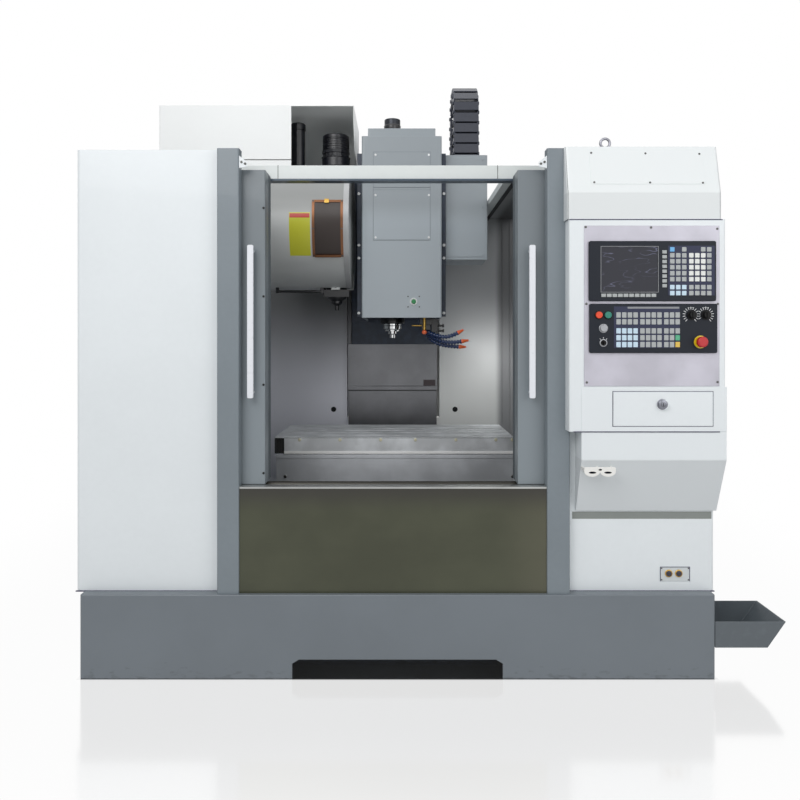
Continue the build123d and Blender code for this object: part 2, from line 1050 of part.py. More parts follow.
pieces["left_door"] = sliding_door(left_door_edge, -1)
pieces["right_door"] = sliding_door(right_door_edge, 1)
pieces["left_handle"] = door_handle(left_door_edge - handle_inset)
pieces["right_handle"] = door_handle(right_door_edge + handle_inset)

# The spindle head's casting: a box on the Z guides with the spindle's bore through its nose
head_left = spindle_x - head_width / 2
head_right = spindle_x + head_width / 2
with BuildPart() as head_casting:
    with BuildSketch(side(head_left)):
        with BuildLine():
            Polyline(
                (head_front, head_bottom),
                (way_cover_front, head_bottom),
                (way_cover_front, head_top + 60),
                (way_cover_front - 240, head_top + 60),
                (head_front + 260, head_top),
                (head_front, head_top - 120),
                close=True,
            )
        make_face()
    extrude(amount=head_width)
    carriage_half = z_rail_spacing / 2 + block_width / 2
    carriage_front = head_cover_back + flat_gap
    block(
        spindle_x - carriage_half,
        spindle_x + carriage_half,
        carriage_front,
        z_rail_front - sliding_gap,
        head_bottom - 10,
        head_top,
    )
    block(
        spindle_x - carriage_half,
        spindle_x + carriage_half,
        way_cover_front - 10,
        way_cover_front + way_sheet,
        upper_plate_top,
        head_bottom - 10,
    )
    for way in (-1, 1):
        rail_x = spindle_x + way * z_rail_spacing / 2
        for block_z in (head_bottom + 20, head_top - 20 - block_length):
            for flank in (-1, 1):
                flank_x = rail_x + flank * (rail_width + block_width) / 4
                flank_half = (block_width - rail_width) / 4
                block(
                    flank_x - flank_half + flank * flat_gap,
                    flank_x + flank_half + flank * flat_gap,
                    z_rail_front - sliding_gap,
                    column_front - 8,
                    block_z,
                    block_z + block_length,
                )
    block(
        spindle_x - 45,
        spindle_x + 45,
        z_rail_front - sliding_gap,
        column_front - 8,
        head_bottom + 170,
        head_bottom + 270,
    )
    post(
        spindle_x,
        z_screw_y,
        head_bottom,
        head_top,
        screw_radius + running_gap,
        Mode.SUBTRACT,
    )
    lug_height = 40
    for lug_z in (head_bottom + 120, head_top - 300):
        block(cover_left + sheet, head_left, 880, 960, lug_z, lug_z + lug_height)
        block(head_right, cover_right - sheet, 880, 960, lug_z, lug_z + lug_height)
    bore_top = head_top + 70
    post(spindle_x, spindle_y, head_bottom, bore_top, cartridge_radius + flat_gap, Mode.SUBTRACT)
pieces["head_casting"] = head_casting

# The head's sheet cover, open below and behind, with its stepped top
with BuildPart() as head_cover:
    with BuildSketch(level(head_cover_bottom)):
        span(cover_left, cover_right, head_cover_front, head_cover_back)
    extrude(amount=head_cover_top - head_cover_bottom)
    fillet(head_cover.edges().filter_by(Axis.Z).group_by(Axis.Y)[0], 8)
    with BuildSketch(level(head_cover_top)):
        span(
            cover_left + head_step_inset,
            cover_right - head_step_inset,
            head_cover_front + head_step_inset,
            head_cover_back,
        )
    extrude(amount=head_step)
    with BuildSketch(level(head_cover_bottom)):
        span(cover_left + sheet, cover_right - sheet, head_cover_front + sheet, head_cover_back)
    extrude(amount=head_cover_top - head_cover_bottom - sheet, mode=Mode.SUBTRACT)
    with BuildSketch(level(head_cover_top - sheet)):
        span(
            cover_left + head_step_inset + sheet,
            cover_right - head_step_inset - sheet,
            head_cover_front + head_step_inset + sheet,
            head_cover_back,
        )
    extrude(amount=head_step, mode=Mode.SUBTRACT)
    post(
        spindle_x,
        spindle_y,
        head_cover_top,
        head_cover_top + head_step,
        cylinder_radius + flat_gap,
        Mode.SUBTRACT,
    )
    with BuildSketch(front(head_cover_front)):
        disc(release_x, release_z, release_radius + flat_gap)
    extrude(amount=-sheet, mode=Mode.SUBTRACT)
pieces["head_cover"] = head_cover

# Two screwed plates on the head cover, and the ring round the tool release button
plate_thickness = 2
with BuildPart() as head_plates:
    with BuildSketch(front(head_cover_front)):
        span(-114, 148, 1682, 1912)
        span(-114, 148, 1925, 2087)
    extrude(amount=plate_thickness)
    with BuildSketch(front(head_cover_front)):
        disc(release_x, release_z, release_ring_radius)
        disc(release_x, release_z, release_radius + 2 * flat_gap, mode=Mode.SUBTRACT)
    extrude(amount=3)
pieces["head_plates"] = head_plates

# The tool release button
with BuildPart() as release_button:
    with BuildSketch(front(head_cover_front - release_proud)):
        disc(release_x, release_z, release_radius)
    extrude(amount=-(release_proud + 18))
    fillet(release_button.edges().group_by(Axis.Y)[0], 2)
pieces["release_button"] = release_button

# The wiring box on the head's right side, open towards the head
with BuildPart() as side_box:
    block(cover_right, cover_right + box_width, box_front, box_front + box_depth, box_bottom, box_top)
    fillet(side_box.edges().filter_by(Axis.Z), 6)
    block(
        cover_right,
        cover_right + box_width - sheet,
        box_front + sheet,
        box_front + box_depth - sheet,
        box_bottom + sheet,
        box_top - sheet,
        mode=Mode.SUBTRACT,
    )
pieces["side_box"] = side_box

# The spindle's cartridge with its flange, and the drawbar cylinder on top of it
spindle_bore = 35
flange_bottom = nose_height + 69
with BuildPart() as spindle_unit:
    post(spindle_x, spindle_y, flange_bottom, head_bottom, flange_radius)
    post(spindle_x, spindle_y, head_bottom, head_top + 90, cartridge_radius)
    post(spindle_x, spindle_y, head_top + 90, head_top + 300, 64)
    post(spindle_x, spindle_y, head_top + 300, cylinder_top, cylinder_radius)
    fillet(spindle_unit.edges().group_by(Axis.Z)[-1], 4)
    post(spindle_x, spindle_y, flange_bottom, head_top, spindle_bore + running_gap, Mode.SUBTRACT)
pieces["spindle_unit"] = spindle_unit

# The spindle, with a tool holder in its nose
with BuildPart() as spindle:
    with BuildSketch(upright(spindle_x, spindle_y)):
        with BuildLine():
            Polyline(
                (0, nose_height),
                (nose_radius * 0.48, nose_height),
                (nose_radius * 0.48, nose_height + 16),
                (nose_radius * 0.74, nose_height + 20),
                (nose_radius * 0.74, nose_height + 38),
                (nose_radius, nose_height + 42),
                (nose_radius, nose_height + 50),
                (nose_radius - 4, nose_height + 53),
                (nose_radius, nose_height + 56),
                (nose_radius, nose_height + 62),
                (spindle_bore + 8, nose_height + 62),
                (spindle_bore + 8, flange_bottom - flat_gap),
                (spindle_bore, flange_bottom - flat_gap),
                (spindle_bore, head_top - 60),
                (0, head_top - 60),
                close=True,
            )
        make_face()
    spindle_axis = Axis((mid_x + spindle_x, front_y + spindle_y, 0), (0, 0, 1))
    revolve(axis=spindle_axis)
pieces["spindle"] = spindle

# The coolant manifold on the head, with three jointed hoses and their nozzles
hose_radius = 8
manifold_x = 142
hose_ends = (
    ((200, 872, 1240), (262, 862, 1230), (306, 856, 1254)),
    ((210, 890, 1222), (270, 880, 1204), (328, 872, 1214)),
    ((205, 914, 1205), (262, 905, 1190), (318, 898, 1188)),
)
with BuildPart() as coolant_nozzles:
    block(head_right, manifold_x + 16, 868, 940, 1290, 1362)
    for number, bends in enumerate(hose_ends):
        hose_y = 885 + number * 20
        route = [(manifold_x, hose_y, 1290), (manifold_x, hose_y, 1262 - number * 9), *bends]
        points = [(mid_x + x, front_y + y, z) for x, y, z in route]
        with BuildLine() as hose:
            FilletPolyline(*points, radius=16)
        with BuildSketch(Plane(origin=points[0], z_dir=(0, 0, -1))):
            Circle(hose_radius)
        sweep(path=hose.line)
        tip = Vector(*points[-1]) - Vector(*points[-2])
        with BuildSketch(Plane(origin=points[-1], z_dir=tip.normalized())):
            Circle(hose_radius + 2)
        with BuildSketch(Plane(origin=Vector(*points[-1]) + tip.normalized() * 30, z_dir=tip)):
            Circle(hose_radius * 0.5)
        loft()
pieces["coolant_nozzles"] = coolant_nozzles

# The cable chain: a loop of box links from the wiring box up and back down to its bracket
chain_bend_z = box_top + chain_foot + chain_pitch * chain_top_links
chain_mid_y = chain_front + chain_bend
with BuildPart() as cable_chain:
    with BuildSketch(side(chain_x - chain_core_width / 2)):
        with BuildLine():
            Line((chain_front, box_top), (chain_front, chain_bend_z))
            CenterArc((chain_mid_y, chain_bend_z), chain_bend, 0, 180)
            Line((chain_rear, chain_bend_z), (chain_rear, chain_end_z))
        trace(line_width=chain_core_thickness)
    extrude(amount=chain_core_width)
    link_x = mid_x + chain_x
    for link in range(chain_top_links):
        link_z = chain_bend_z - (link + 0.5) * chain_pitch
        with Locations((link_x, front_y + chain_front, link_z)):
            Box(chain_width, chain_thickness, chain_link_length)
    for link in range(chain_rear_links):
        link_z = chain_bend_z - (link + 0.5) * chain_pitch
        with Locations((link_x, front_y + chain_rear, link_z)):
            Box(chain_width, chain_thickness, chain_link_length)
    for link in range(chain_bend_links):
        turn = (link + 0.5) * 180 / chain_bend_links
        link_y = front_y + chain_mid_y - chain_bend * cos(radians(turn))
        link_z = chain_bend_z + chain_bend * sin(radians(turn))
        with Locations(Location((link_x, link_y, link_z), (-turn, 0, 0))):
            Box(chain_width, chain_thickness, chain_link_length)
    block(
        chain_x - chain_width / 2,
        chain_x + chain_width / 2,
        chain_front - chain_thickness / 2,
        chain_front + chain_thickness / 2,
        box_top,
        box_top + chain_foot - 3,
    )
    block(
        chain_x - chain_width / 2,
        chain_x + chain_width / 2,
        chain_rear - chain_thickness / 2,
        chain_rear + chain_thickness / 2,
        chain_end_z,
        chain_end_z + chain_foot - 3,
    )
pieces["cable_chain"] = cable_chain

# The magazine's drum housing, with its window, its tool gate below and its mounting pads
gate_left = flip_pot_x - flip_pot_radius - 12
gate_half = flip_pot_radius + 14
with BuildPart() as magazine_shroud:
    with BuildSketch(side(drum_left)):
        disc(drum_y, drum_z, drum_radius)
    extrude(amount=drum_right - drum_left)
    with BuildSketch(side(drum_right - rim_band)):
        disc(drum_y, drum_z, drum_radius + 2)
    extrude(amount=rim_band)
    block(-560, -225, drum_y - 60, drum_y + 60, drum_z + drum_radius - 10, hood_bottom - 2)
    block(-600, -300, drum_y + drum_radius - 20, bracket_front, drum_z - 100, drum_z + 100)
    with BuildSketch(side(drum_left + drum_wall)):
        disc(drum_y, drum_z, drum_radius - drum_wall)
    extrude(amount=drum_right - drum_left - 2 * drum_wall, mode=Mode.SUBTRACT)
    block(
        gate_left,
        drum_right,
        drum_y - gate_half,
        drum_y + gate_half,
        drum_z - drum_radius - 10,
        flip_pot_z + flip_pot_radius + 20,
        mode=Mode.SUBTRACT,
    )
    for lug_front in (drum_y - gate_half - pot_lug, drum_y + gate_half):
        block(
            flip_pot_x - 20,
            flip_pot_x + 20,
            lug_front,
            lug_front + pot_lug,
            flip_pot_z - 16,
            flip_pot_z + 22,
        )
    with BuildSketch(front(drum_y - gate_half - pot_lug)):
        disc(flip_pot_x, flip_pot_z, pot_pin_radius + running_gap)
    extrude(amount=-2 * (gate_half + pot_lug), mode=Mode.SUBTRACT)
    block(
        window_left + window_frame,
        window_right - window_frame,
        drum_y - drum_radius - 10,
        drum_y - drum_radius + 70,
        1612,
        1828,
        mode=Mode.SUBTRACT,
    )
    with BuildSketch(side(drum_left)):
        disc(drum_y, drum_z, carousel_shaft_radius + running_gap)
    extrude(amount=drum_wall, mode=Mode.SUBTRACT)
pieces["magazine_shroud"] = magazine_shroud


def drum_plane(angle):
    """A plane through the drum's axis, turned by the angle from straight up to the front."""
    turn = radians(angle)
    return Plane(
        origin=(mid_x, front_y + drum_y, drum_z),
        x_dir=(1, 0, 0),
        z_dir=(0, -cos(turn), -sin(turn)),
    )


# The framed window of the drum housing, bent to its curve
window_axis = Axis((mid_x, front_y + drum_y, drum_z), (1, 0, 0))
window_start = 90 - window_high_angle
window_arc = window_high_angle + window_low_angle
frame_arc = window_frame / drum_radius * 180 / pi
with BuildPart() as magazine_window:
    with BuildSketch(drum_plane(window_start)):
        span(window_left, window_right, drum_radius + flat_gap, drum_radius + 6)
    revolve(axis=window_axis, revolution_arc=window_arc)
    with BuildSketch(drum_plane(window_start + frame_arc)):
        span(
            window_left + window_frame,
            window_right - window_frame,
            drum_radius + 2.5,
            drum_radius + 8,
        )
    revolve(axis=window_axis, revolution_arc=window_arc - 2 * frame_arc, mode=Mode.SUBTRACT)
pieces["magazine_window"] = magazine_window

# The white hood over the magazine's drives, open below and at its right front
with BuildPart() as magazine_hood:
    block(hood_left, hood_right, hood_front, bracket_front, hood_bottom, hood_top)
    fillet(magazine_hood.edges().filter_by(Axis.Z).group_by(Axis.Y)[0], 6)
    block(
        hood_left + sheet,
        hood_right - sheet,
        hood_front + sheet,
        bracket_front - sheet,
        hood_bottom,
        hood_top - sheet,
        mode=Mode.SUBTRACT,
    )
    block(
        hood_front_right,
        hood_right - sheet,
        hood_front,
        hood_front + sheet,
        hood_bottom,
        hood_top - sheet,
        mode=Mode.SUBTRACT,
    )
    with BuildSketch(side(hood_right - sheet)):
        with BuildLine():
            Polyline(
                (hood_front - 1, hood_top - 60),
                (hood_front + 110, hood_bottom + 60),
                (bracket_front - 60, hood_bottom - 1),
                (hood_front - 1, hood_bottom - 1),
                close=True,
            )
        make_face()
    extrude(amount=sheet, mode=Mode.SUBTRACT)
pieces["magazine_hood"] = magazine_hood

# The magazine's two drive motors and the Z servo motor on the column
with BuildPart() as servo_motors:
    post(-481, drum_y, hood_bottom - 2, 2255, 33)
    post(-299, drum_y, hood_bottom - 2, 2090, 67)
    post(-299, drum_y, 2090, 2194, 60)
    block(spindle_x - 65, spindle_x + 65, 1585, 1715, column_top, column_top + 20)
    block(spindle_x - 58, spindle_x + 58, 1592, 1708, column_top + 20, column_top + 205)
pieces["servo_motors"] = servo_motors

# The carousel: a disc on its shaft with the tool pots round it
with BuildPart() as carousel:
    with BuildSketch(side(drum_left - 16)):
        disc(drum_y, drum_z, carousel_shaft_radius)
    extrude(amount=carousel_disc_x + carousel_disc_thickness - drum_left + 16)
    with BuildSketch(side(carousel_disc_x)):
        disc(drum_y, drum_z, pot_circle + pot_radius + 6)
        for pot in range(6):
            turn = radians(60 * pot)
            disc(drum_y + 120 * cos(turn), drum_z + 120 * sin(turn), 38, mode=Mode.SUBTRACT)
    extrude(amount=carousel_disc_thickness)
    with BuildSketch(side(carousel_disc_x + carousel_disc_thickness)):
        for pot in range(pot_count):
            turn = radians(360 / pot_count * pot)
            pot_y = drum_y + pot_circle * cos(turn)
            pot_z = drum_z + pot_circle * sin(turn)
            disc(pot_y, pot_z, pot_radius)
            disc(pot_y, pot_z, taper_mouth_radius, mode=Mode.SUBTRACT)
    extrude(amount=pot_length)
pieces["carousel"] = carousel

# The tool pot at the gate, turned down to hand its tool over
with BuildPart() as tool_pot:
    with BuildSketch(upright(flip_pot_x, drum_y)):
        with BuildLine():
            pot_tip = flip_pot_z - flip_pot_length
            Polyline(
                (0, pot_tip),
                (10, pot_tip),
                (10, pot_tip + 22),
                (26, pot_tip + 34),
                (26, pot_tip + 44),
                (flip_pot_radius - 4, pot_tip + 56),
                (flip_pot_radius, pot_tip + 66),
                (flip_pot_radius, flip_pot_z + 6),
                (0, flip_pot_z + 6),
                close=True,
            )
        make_face()
    revolve(axis=Axis((mid_x + flip_pot_x, front_y + drum_y, 0), (0, 0, 1)))
    with BuildSketch(front(drum_y - gate_half - pot_lug + 1)):
        disc(flip_pot_x, flip_pot_z, pot_pin_radius)
    extrude(amount=-2 * (gate_half + pot_lug - 1))
pieces["tool_pot"] = tool_pot

# The control cabinet: a folded body open at the back, with the drawer's shelf
drawer_left = 768
drawer_right = 1108
drawer_bottom = 922
drawer_top = 1031
drawer_panel_left = 651
drawer_panel_top = 1054
shelf_depth = 90
post_face = post_front - flat_gap
cover_face = cover_front - flat_gap
inner_left = opening_right + right_post_width + flat_gap
with BuildPart() as control_cabinet:
    with BuildSketch(level(cabinet_bottom)):
        folded(
            [
                (cabinet_left + mid_sheet, post_face),
                (cabinet_left + mid_sheet, cabinet_front + mid_sheet),
                (cabinet_right - mid_sheet, cabinet_front + mid_sheet),
                (cabinet_right - mid_sheet, cover_face),
            ],
            6,
            sheet,
        )
    extrude(amount=cabinet_top - cabinet_bottom)
    for cap in (cabinet_bottom, cabinet_top - sheet):
        with BuildSketch(level(cap)) as cap_outline:
            span(
                cabinet_left + mid_sheet,
                cabinet_right - mid_sheet,
                cabinet_front + mid_sheet,
                post_face,
            )
            span(inner_left, cabinet_right - mid_sheet, post_face, cover_face)
            fillet(cap_outline.vertices().group_by(Axis.Y)[0], 6)
        extrude(amount=sheet)
    with BuildSketch(front(cabinet_front)):
        span(drawer_left, drawer_right, drawer_bottom, drawer_top)
    extrude(amount=-sheet, mode=Mode.SUBTRACT)
    block(
        drawer_left - 10,
        drawer_right + 10,
        cabinet_front + sheet,
        cabinet_front + sheet + shelf_depth,
        cabinet_bottom + sheet,
        drawer_bottom + 2,
    )
    block(
        drawer_left + 20,
        drawer_right - 20,
        cabinet_front + sheet,
        cabinet_front + sheet + shelf_depth,
        cabinet_bottom + sheet,
        drawer_bottom - 2,
        mode=Mode.SUBTRACT,
    )
pieces["control_cabinet"] = control_cabinet

# The cabinet's hood, with its sloping sign face
with BuildPart() as cabinet_hood:
    with BuildSketch(side(hood_cap_left)):
        with BuildLine():
            Polyline(
                (cabinet_front, cabinet_top),
                (cabinet_front, sign_bottom),
                (cabinet_front + sign_slope, hood_cap_top),
                (cover_face, hood_cap_top),
                (cover_face, cabinet_top),
                close=True,
            )
        make_face()
    extrude(amount=hood_cap_right - hood_cap_left)
    hood_rims = [
        rim
        for rim in cabinet_hood.edges()
        if abs(rim.tangent_at(0.5).X) < 0.1 and rim.center().Y < front_y + cabinet_front + sign_slope
    ]
    fillet([rim for rim in hood_rims if rim.center().Z < hood_cap_top - 1], 12)
    with BuildSketch(side(hood_cap_left + sheet)):
        with BuildLine():
            Polyline(
                (cabinet_front + sheet, cabinet_top - 1),
                (cabinet_front + sheet, sign_bottom),
                (cabinet_front + sign_slope + sheet, hood_cap_top - sheet),
                (cover_front, hood_cap_top - sheet),
                (cover_front, cabinet_top - 1),
                close=True,
            )
        make_face()
    extrude(amount=hood_cap_right - hood_cap_left - 2 * sheet, mode=Mode.SUBTRACT)
    block(
        hood_cap_left,
        inner_left,
        post_face,
        cover_front,
        cabinet_top,
        hood_cap_top,
        mode=Mode.SUBTRACT,
    )
pieces["cabinet_hood"] = cabinet_hood

# The sloping skirt under the drawer, and the raised panel round the drawer
skirt_left = drawer_panel_left
skirt_right = cabinet_right + 4
skirt_step = 794
skirt_bottom = 596
lower_front = cover_face
with BuildPart() as slope_skirt:
    with BuildSketch(side(skirt_left)):
        with BuildLine():
            Polyline(
                (cabinet_front, cabinet_bottom),
                (cabinet_front, skirt_step),
                (lower_front - 8, skirt_bottom),
                (lower_front, skirt_bottom),
                (lower_front, cabinet_bottom),
                close=True,
            )
        make_face()
    extrude(amount=skirt_right - skirt_left)
    with BuildSketch(side(skirt_left + sheet)):
        with BuildLine():
            Polyline(
                (cabinet_front + sheet, cabinet_bottom - sheet),
                (cabinet_front + sheet, skirt_step),
                (lower_front - 5, skirt_bottom + sheet),
                (lower_front + 1, skirt_bottom + sheet),
                (lower_front + 1, cabinet_bottom - sheet),
                close=True,
            )
        make_face()
    extrude(amount=skirt_right - skirt_left - 2 * sheet, mode=Mode.SUBTRACT)
    with BuildSketch(front(cabinet_front)):
        span(skirt_left, skirt_right, cabinet_bottom + flat_gap, drawer_panel_top)
        span(drawer_left, drawer_right, drawer_bottom, drawer_top, mode=Mode.SUBTRACT)
    extrude(amount=plate_thickness)
pieces["slope_skirt"] = slope_skirt

# The bracket for the handwheel: a folded strip with two hanging slots
hook_left = 664
hook_right = 774
with BuildPart() as handwheel_hook:
    with BuildSketch(side(hook_left)):
        folded(
            [
                (cabinet_front - 1, skirt_step + 34),
                (cabinet_front - 1, skirt_step - 40),
                (cabinet_front - 34, skirt_step - 40),
                (cabinet_front - 34, skirt_step - 22),
            ],
            5,
            plate_thickness,
        )
    extrude(amount=hook_right - hook_left)
    for slot_x in (hook_left + 30, hook_right - 30):
        with BuildSketch(level(skirt_step - 20)):
            with Locations((slot_x, cabinet_front - 18)):
                SlotOverall(34, 16)
        extrude(amount=-40, mode=Mode.SUBTRACT)
pieces["handwheel_hook"] = handwheel_hook

# The drawer: a front plate with its lock, and a folded tray behind it
with BuildPart() as drawer:
    drawer_face = cabinet_front - plate_thickness - flat_gap
    with BuildSketch(front(drawer_face)):
        span(drawer_left - 6, drawer_right + 6, drawer_bottom - 6, drawer_top + 6)
    extrude(amount=3)
    fillet(drawer.edges().filter_by(Axis.Y), 2)
    tray_left = drawer_left + 3
    tray_right = drawer_right - 3
    tray_bottom = drawer_bottom + 2 + flat_gap
    tray_back = cabinet_front + sheet + shelf_depth - 2
    block(tray_left, tray_right, drawer_face, tray_back, tray_bottom, drawer_top - 3)
    block(
        tray_left + 2,
        tray_right - 2,
        drawer_face,
        tray_back - 2,
        tray_bottom + 2,
        drawer_top - 3,
        mode=Mode.SUBTRACT,
    )
    with BuildSketch(front(drawer_face - 3)):
        disc(940, 993, 16)
    extrude(amount=13)
    fillet(drawer.edges().group_by(Axis.Y)[0], 2)
pieces["drawer"] = drawer

# The brushed steel plate and the two black operator units on it
plate_front = cabinet_front - sheet
unit_front = plate_front - unit_proud
with BuildPart() as operator_plate:
    with BuildSketch(front(cabinet_front)):
        span(panel_left, panel_right, panel_bottom, panel_top)
    extrude(amount=sheet)
pieces["operator_plate"] = operator_plate

display_left = 675
display_right = 1123
display_bottom = 1357
display_top = 1569
screen_left = 717
screen_right = 918
screen_bottom = 1389
screen_top = 1549
with BuildPart() as display_unit:
    with BuildSketch(front(plate_front)):
        span(display_left, display_right, display_bottom, display_top)
    extrude(amount=unit_proud)
    fillet(display_unit.edges().filter_by(Axis.Y), 6)
    chamfer(display_unit.edges().group_by(Axis.Y)[0], 1.5)
    with BuildSketch(front(unit_front)):
        span(screen_left, screen_right, screen_bottom, screen_top)
    extrude(amount=-3, mode=Mode.SUBTRACT)
pieces["display_unit"] = display_unit

# The controls of the lower unit, each with its place and radius
lower_left = 677
lower_right = 1127
lower_bottom = 1174
lower_top = 1348
push_radius = 12
push_travel = 4
push_buttons = {"orange_button": (709, 1308), "green_button": (741, 1308), "silver_button": (725, 1261)}
key_switch_place = (725, 1210)
key_switch_radius = 10
knob_places = {"feed_knob": (1036, 1308), "speed_knob": (1086, 1308)}
knob_radius = 13
knob_shaft = 4
stop_place = (1066, 1213)
stop_radius = 19
stop_stem = 10
stop_ring_radius = 22.5
with BuildPart() as operator_unit:
    with BuildSketch(front(plate_front)):
        span(lower_left, lower_right, lower_bottom, lower_top)
    extrude(amount=unit_proud)
    fillet(operator_unit.edges().filter_by(Axis.Y), 6)
    chamfer(operator_unit.edges().group_by(Axis.Y)[0], 1.5)
    with BuildSketch(front(unit_front)):
        for place in push_buttons.values():
            disc(*place, push_radius + flat_gap)
        disc(*key_switch_place, key_switch_radius + running_gap)
        for place in knob_places.values():
            disc(*place, knob_shaft + running_gap)
        disc(*stop_place, stop_stem + flat_gap)
    extrude(amount=-unit_proud, mode=Mode.SUBTRACT)
pieces["operator_unit"] = operator_unit

# The keys of both units and the ring round the emergency stop
key_pitch = 21
key_size = 16
with BuildPart() as panel_keys:
    with BuildSketch(front(unit_front)):
        for row in range(6):
            for column in (range(7) if row else (0, 2, 5, 6)):
                key_x = 967 + column * key_pitch + (4 if column > 2 else 0)
                with Locations((key_x, 1539 - row * key_pitch)):
                    RectangleRounded(key_size, key_size, 2)
        for row in range(2):
            for column in range(7):
                key_x = 967 + column * key_pitch + (4 if column > 2 else 0)
                with Locations((key_x, 1406 - row * key_pitch)):
                    RectangleRounded(key_size, key_size, 2)
        for row in range(8):
            with Locations((940, 1530 - row * 17)):
                Rectangle(16, 12)
        for column in range(7):
            with Locations((731 + column * 28.5, 1376)):
                Rectangle(22, 11)
        for row in range(5):
            row_z = 1308 - row * 24 - (8 if row > 1 else 0)
            for column in range(11):
                key_x = 778 + column * 20 + (4 if column > 3 else 0) + (4 if column > 7 else 0)
                with Locations((key_x, row_z)):
                    RectangleRounded(key_size, key_size + 3, 2)
    extrude(amount=key_proud)
    with BuildSketch(front(unit_front)):
        disc(*stop_place, stop_ring_radius)
        disc(*stop_place, stop_stem + 2 * flat_gap, mode=Mode.SUBTRACT)
    extrude(amount=3)
pieces["panel_keys"] = panel_keys


def push_button(place):
    """A round push button in its hole, standing proud by more than its travel."""
    with BuildPart() as button:
        with BuildSketch(front(unit_front - 8)):
            disc(*place, push_radius)
        extrude(amount=-(8 + unit_proud - push_travel - 1))
        fillet(button.edges().group_by(Axis.Y)[0], 1.5)
    return button


def rotary_knob(place):
    """A rotary knob with a grip bar, on a shaft that turns in the unit."""
    with BuildPart() as knob:
        with BuildSketch(front(unit_front - flat_gap)):
            disc(*place, knob_radius + 4)
        extrude(amount=4)
        with BuildSketch(front(unit_front - flat_gap - 4)):
            disc(*place, knob_radius)
        extrude(amount=14, taper=6)
        with BuildSketch(front(unit_front - flat_gap - 18)):
            with Locations(place):
                Rectangle(6, 2 * knob_radius - 6)
        extrude(amount=4)
        with BuildSketch(front(unit_front)):
            disc(*place, knob_shaft)
        extrude(amount=flat_gap)
        with BuildSketch(front(unit_front)):
            disc(*place, knob_shaft)
        extrude(amount=-(unit_proud - 1))
    return knob


for name, place in push_buttons.items():
    pieces[name] = push_button(place)
for name, place in knob_places.items():
    pieces[name] = rotary_knob(place)

# The key switch, with its key in it
with BuildPart() as key_switch:
    with BuildSketch(front(unit_front - 5)):
        disc(*key_switch_place, key_switch_radius)
    extrude(amount=-(unit_proud + 4))
    with BuildSketch(front(unit_front - 5)):
        with Locations(key_switch_place):
            SlotOverall(14, 4, rotation=90)
    extrude(amount=14)
pieces["key_switch"] = key_switch

# The emergency stop: a mushroom head on its stem
stop_front = -front_reach
with BuildPart() as emergency_stop:
    with BuildSketch(front(unit_front - 14)):
        disc(*stop_place, stop_stem)
    extrude(amount=-(14 + unit_proud - 6))
    with BuildSketch(front(unit_front - 12)):
        disc(*stop_place, stop_radius)
    extrude(amount=unit_front - 12 - stop_front)
    fillet(emergency_stop.edges().group_by(Axis.Y)[0], 6)
pieces["emergency_stop"] = emergency_stop

# The chip chute: a sheet trough hung on the base's right side, its end sloping
chute_slope = 66
with BuildPart() as chip_chute:
    chute_start = base_width / 2
    chute_end = chute_start + chute_reach
    with BuildSketch(front(chute_front)):
        with BuildLine():
            Polyline(
                (chute_start, chute_bottom),
                (chute_end - chute_slope, chute_bottom),
                (chute_end, chute_top),
                (chute_start, chute_top),
                close=True,
            )
        make_face()
    extrude(amount=-chute_width)
    with BuildSketch(front(chute_front + sheet)):
        with BuildLine():
            Polyline(
                (chute_start, chute_bottom + sheet),
                (chute_end - chute_slope - 3, chute_bottom + sheet),
                (chute_end - 4, chute_top + 1),
                (chute_start, chute_top + 1),
                close=True,
            )
        make_face()
    extrude(amount=-(chute_width - 2 * sheet), mode=Mode.SUBTRACT)
pieces["chip_chute"] = chip_chute

# The electrical cabinet behind the machine, with its mounting plate and modules, and its door
power_left = 430
power_right = 1130
power_back = 2200
power_bottom = 60
power_top = 1930
door_thickness = 20
hinge_x = power_right + 7
hinge_y = power_back + 14
hinge_radius = 7
hinge_pin_radius = 3
hinge_length = 40
hinge_heights = (300, 1600)
with BuildPart() as power_cabinet:
    block(power_left, power_right, base_depth, power_back, power_bottom, power_top)
    fillet(power_cabinet.edges().filter_by(Axis.Z).group_by(Axis.Y)[0], 5)
    block(
        power_left + sheet,
        power_right - sheet,
        base_depth + sheet,
        power_back,
        power_bottom + sheet,
        power_top - sheet,
        mode=Mode.SUBTRACT,
    )
    for frame_left in (power_left + sheet, power_right - sheet - 20):
        block(
            frame_left,
            frame_left + 20,
            power_back - 4,
            power_back,
            power_bottom + sheet,
            power_top - sheet,
        )
    block(power_left + 20, power_right - 20, base_depth + 30, power_back - 30, 0, power_bottom)
    block(
        power_left + 60,
        power_right - 60,
        base_depth + sheet,
        base_depth + sheet + 6,
        power_bottom + 90,
        power_top - 90,
    )
    for row, (depth, tall) in enumerate(((150, 330), (110, 150), (90, 90), (60, 70))):
        module_z = (1300, 1050, 860, 640)[row]
        for module in range(3):
            module_x = power_left + 90 + module * 180
            block(
                module_x,
                module_x + 150,
                base_depth + sheet,
                base_depth + sheet + depth,
                module_z,
                module_z + tall,
            )
    for hinge_z in hinge_heights:
        for barrel_z in (hinge_z - hinge_length - 1, hinge_z + hinge_length + 1):
            post(hinge_x, hinge_y, barrel_z, barrel_z + hinge_length, hinge_radius)
            block(
                power_right,
                hinge_x,
                power_back - 40,
                hinge_y,
                barrel_z,
                barrel_z + hinge_length,
            )
        post(
            hinge_x,
            hinge_y,
            hinge_z - hinge_length,
            hinge_z + 2 * hinge_length,
            hinge_pin_radius,
        )
pieces["power_cabinet"] = power_cabinet

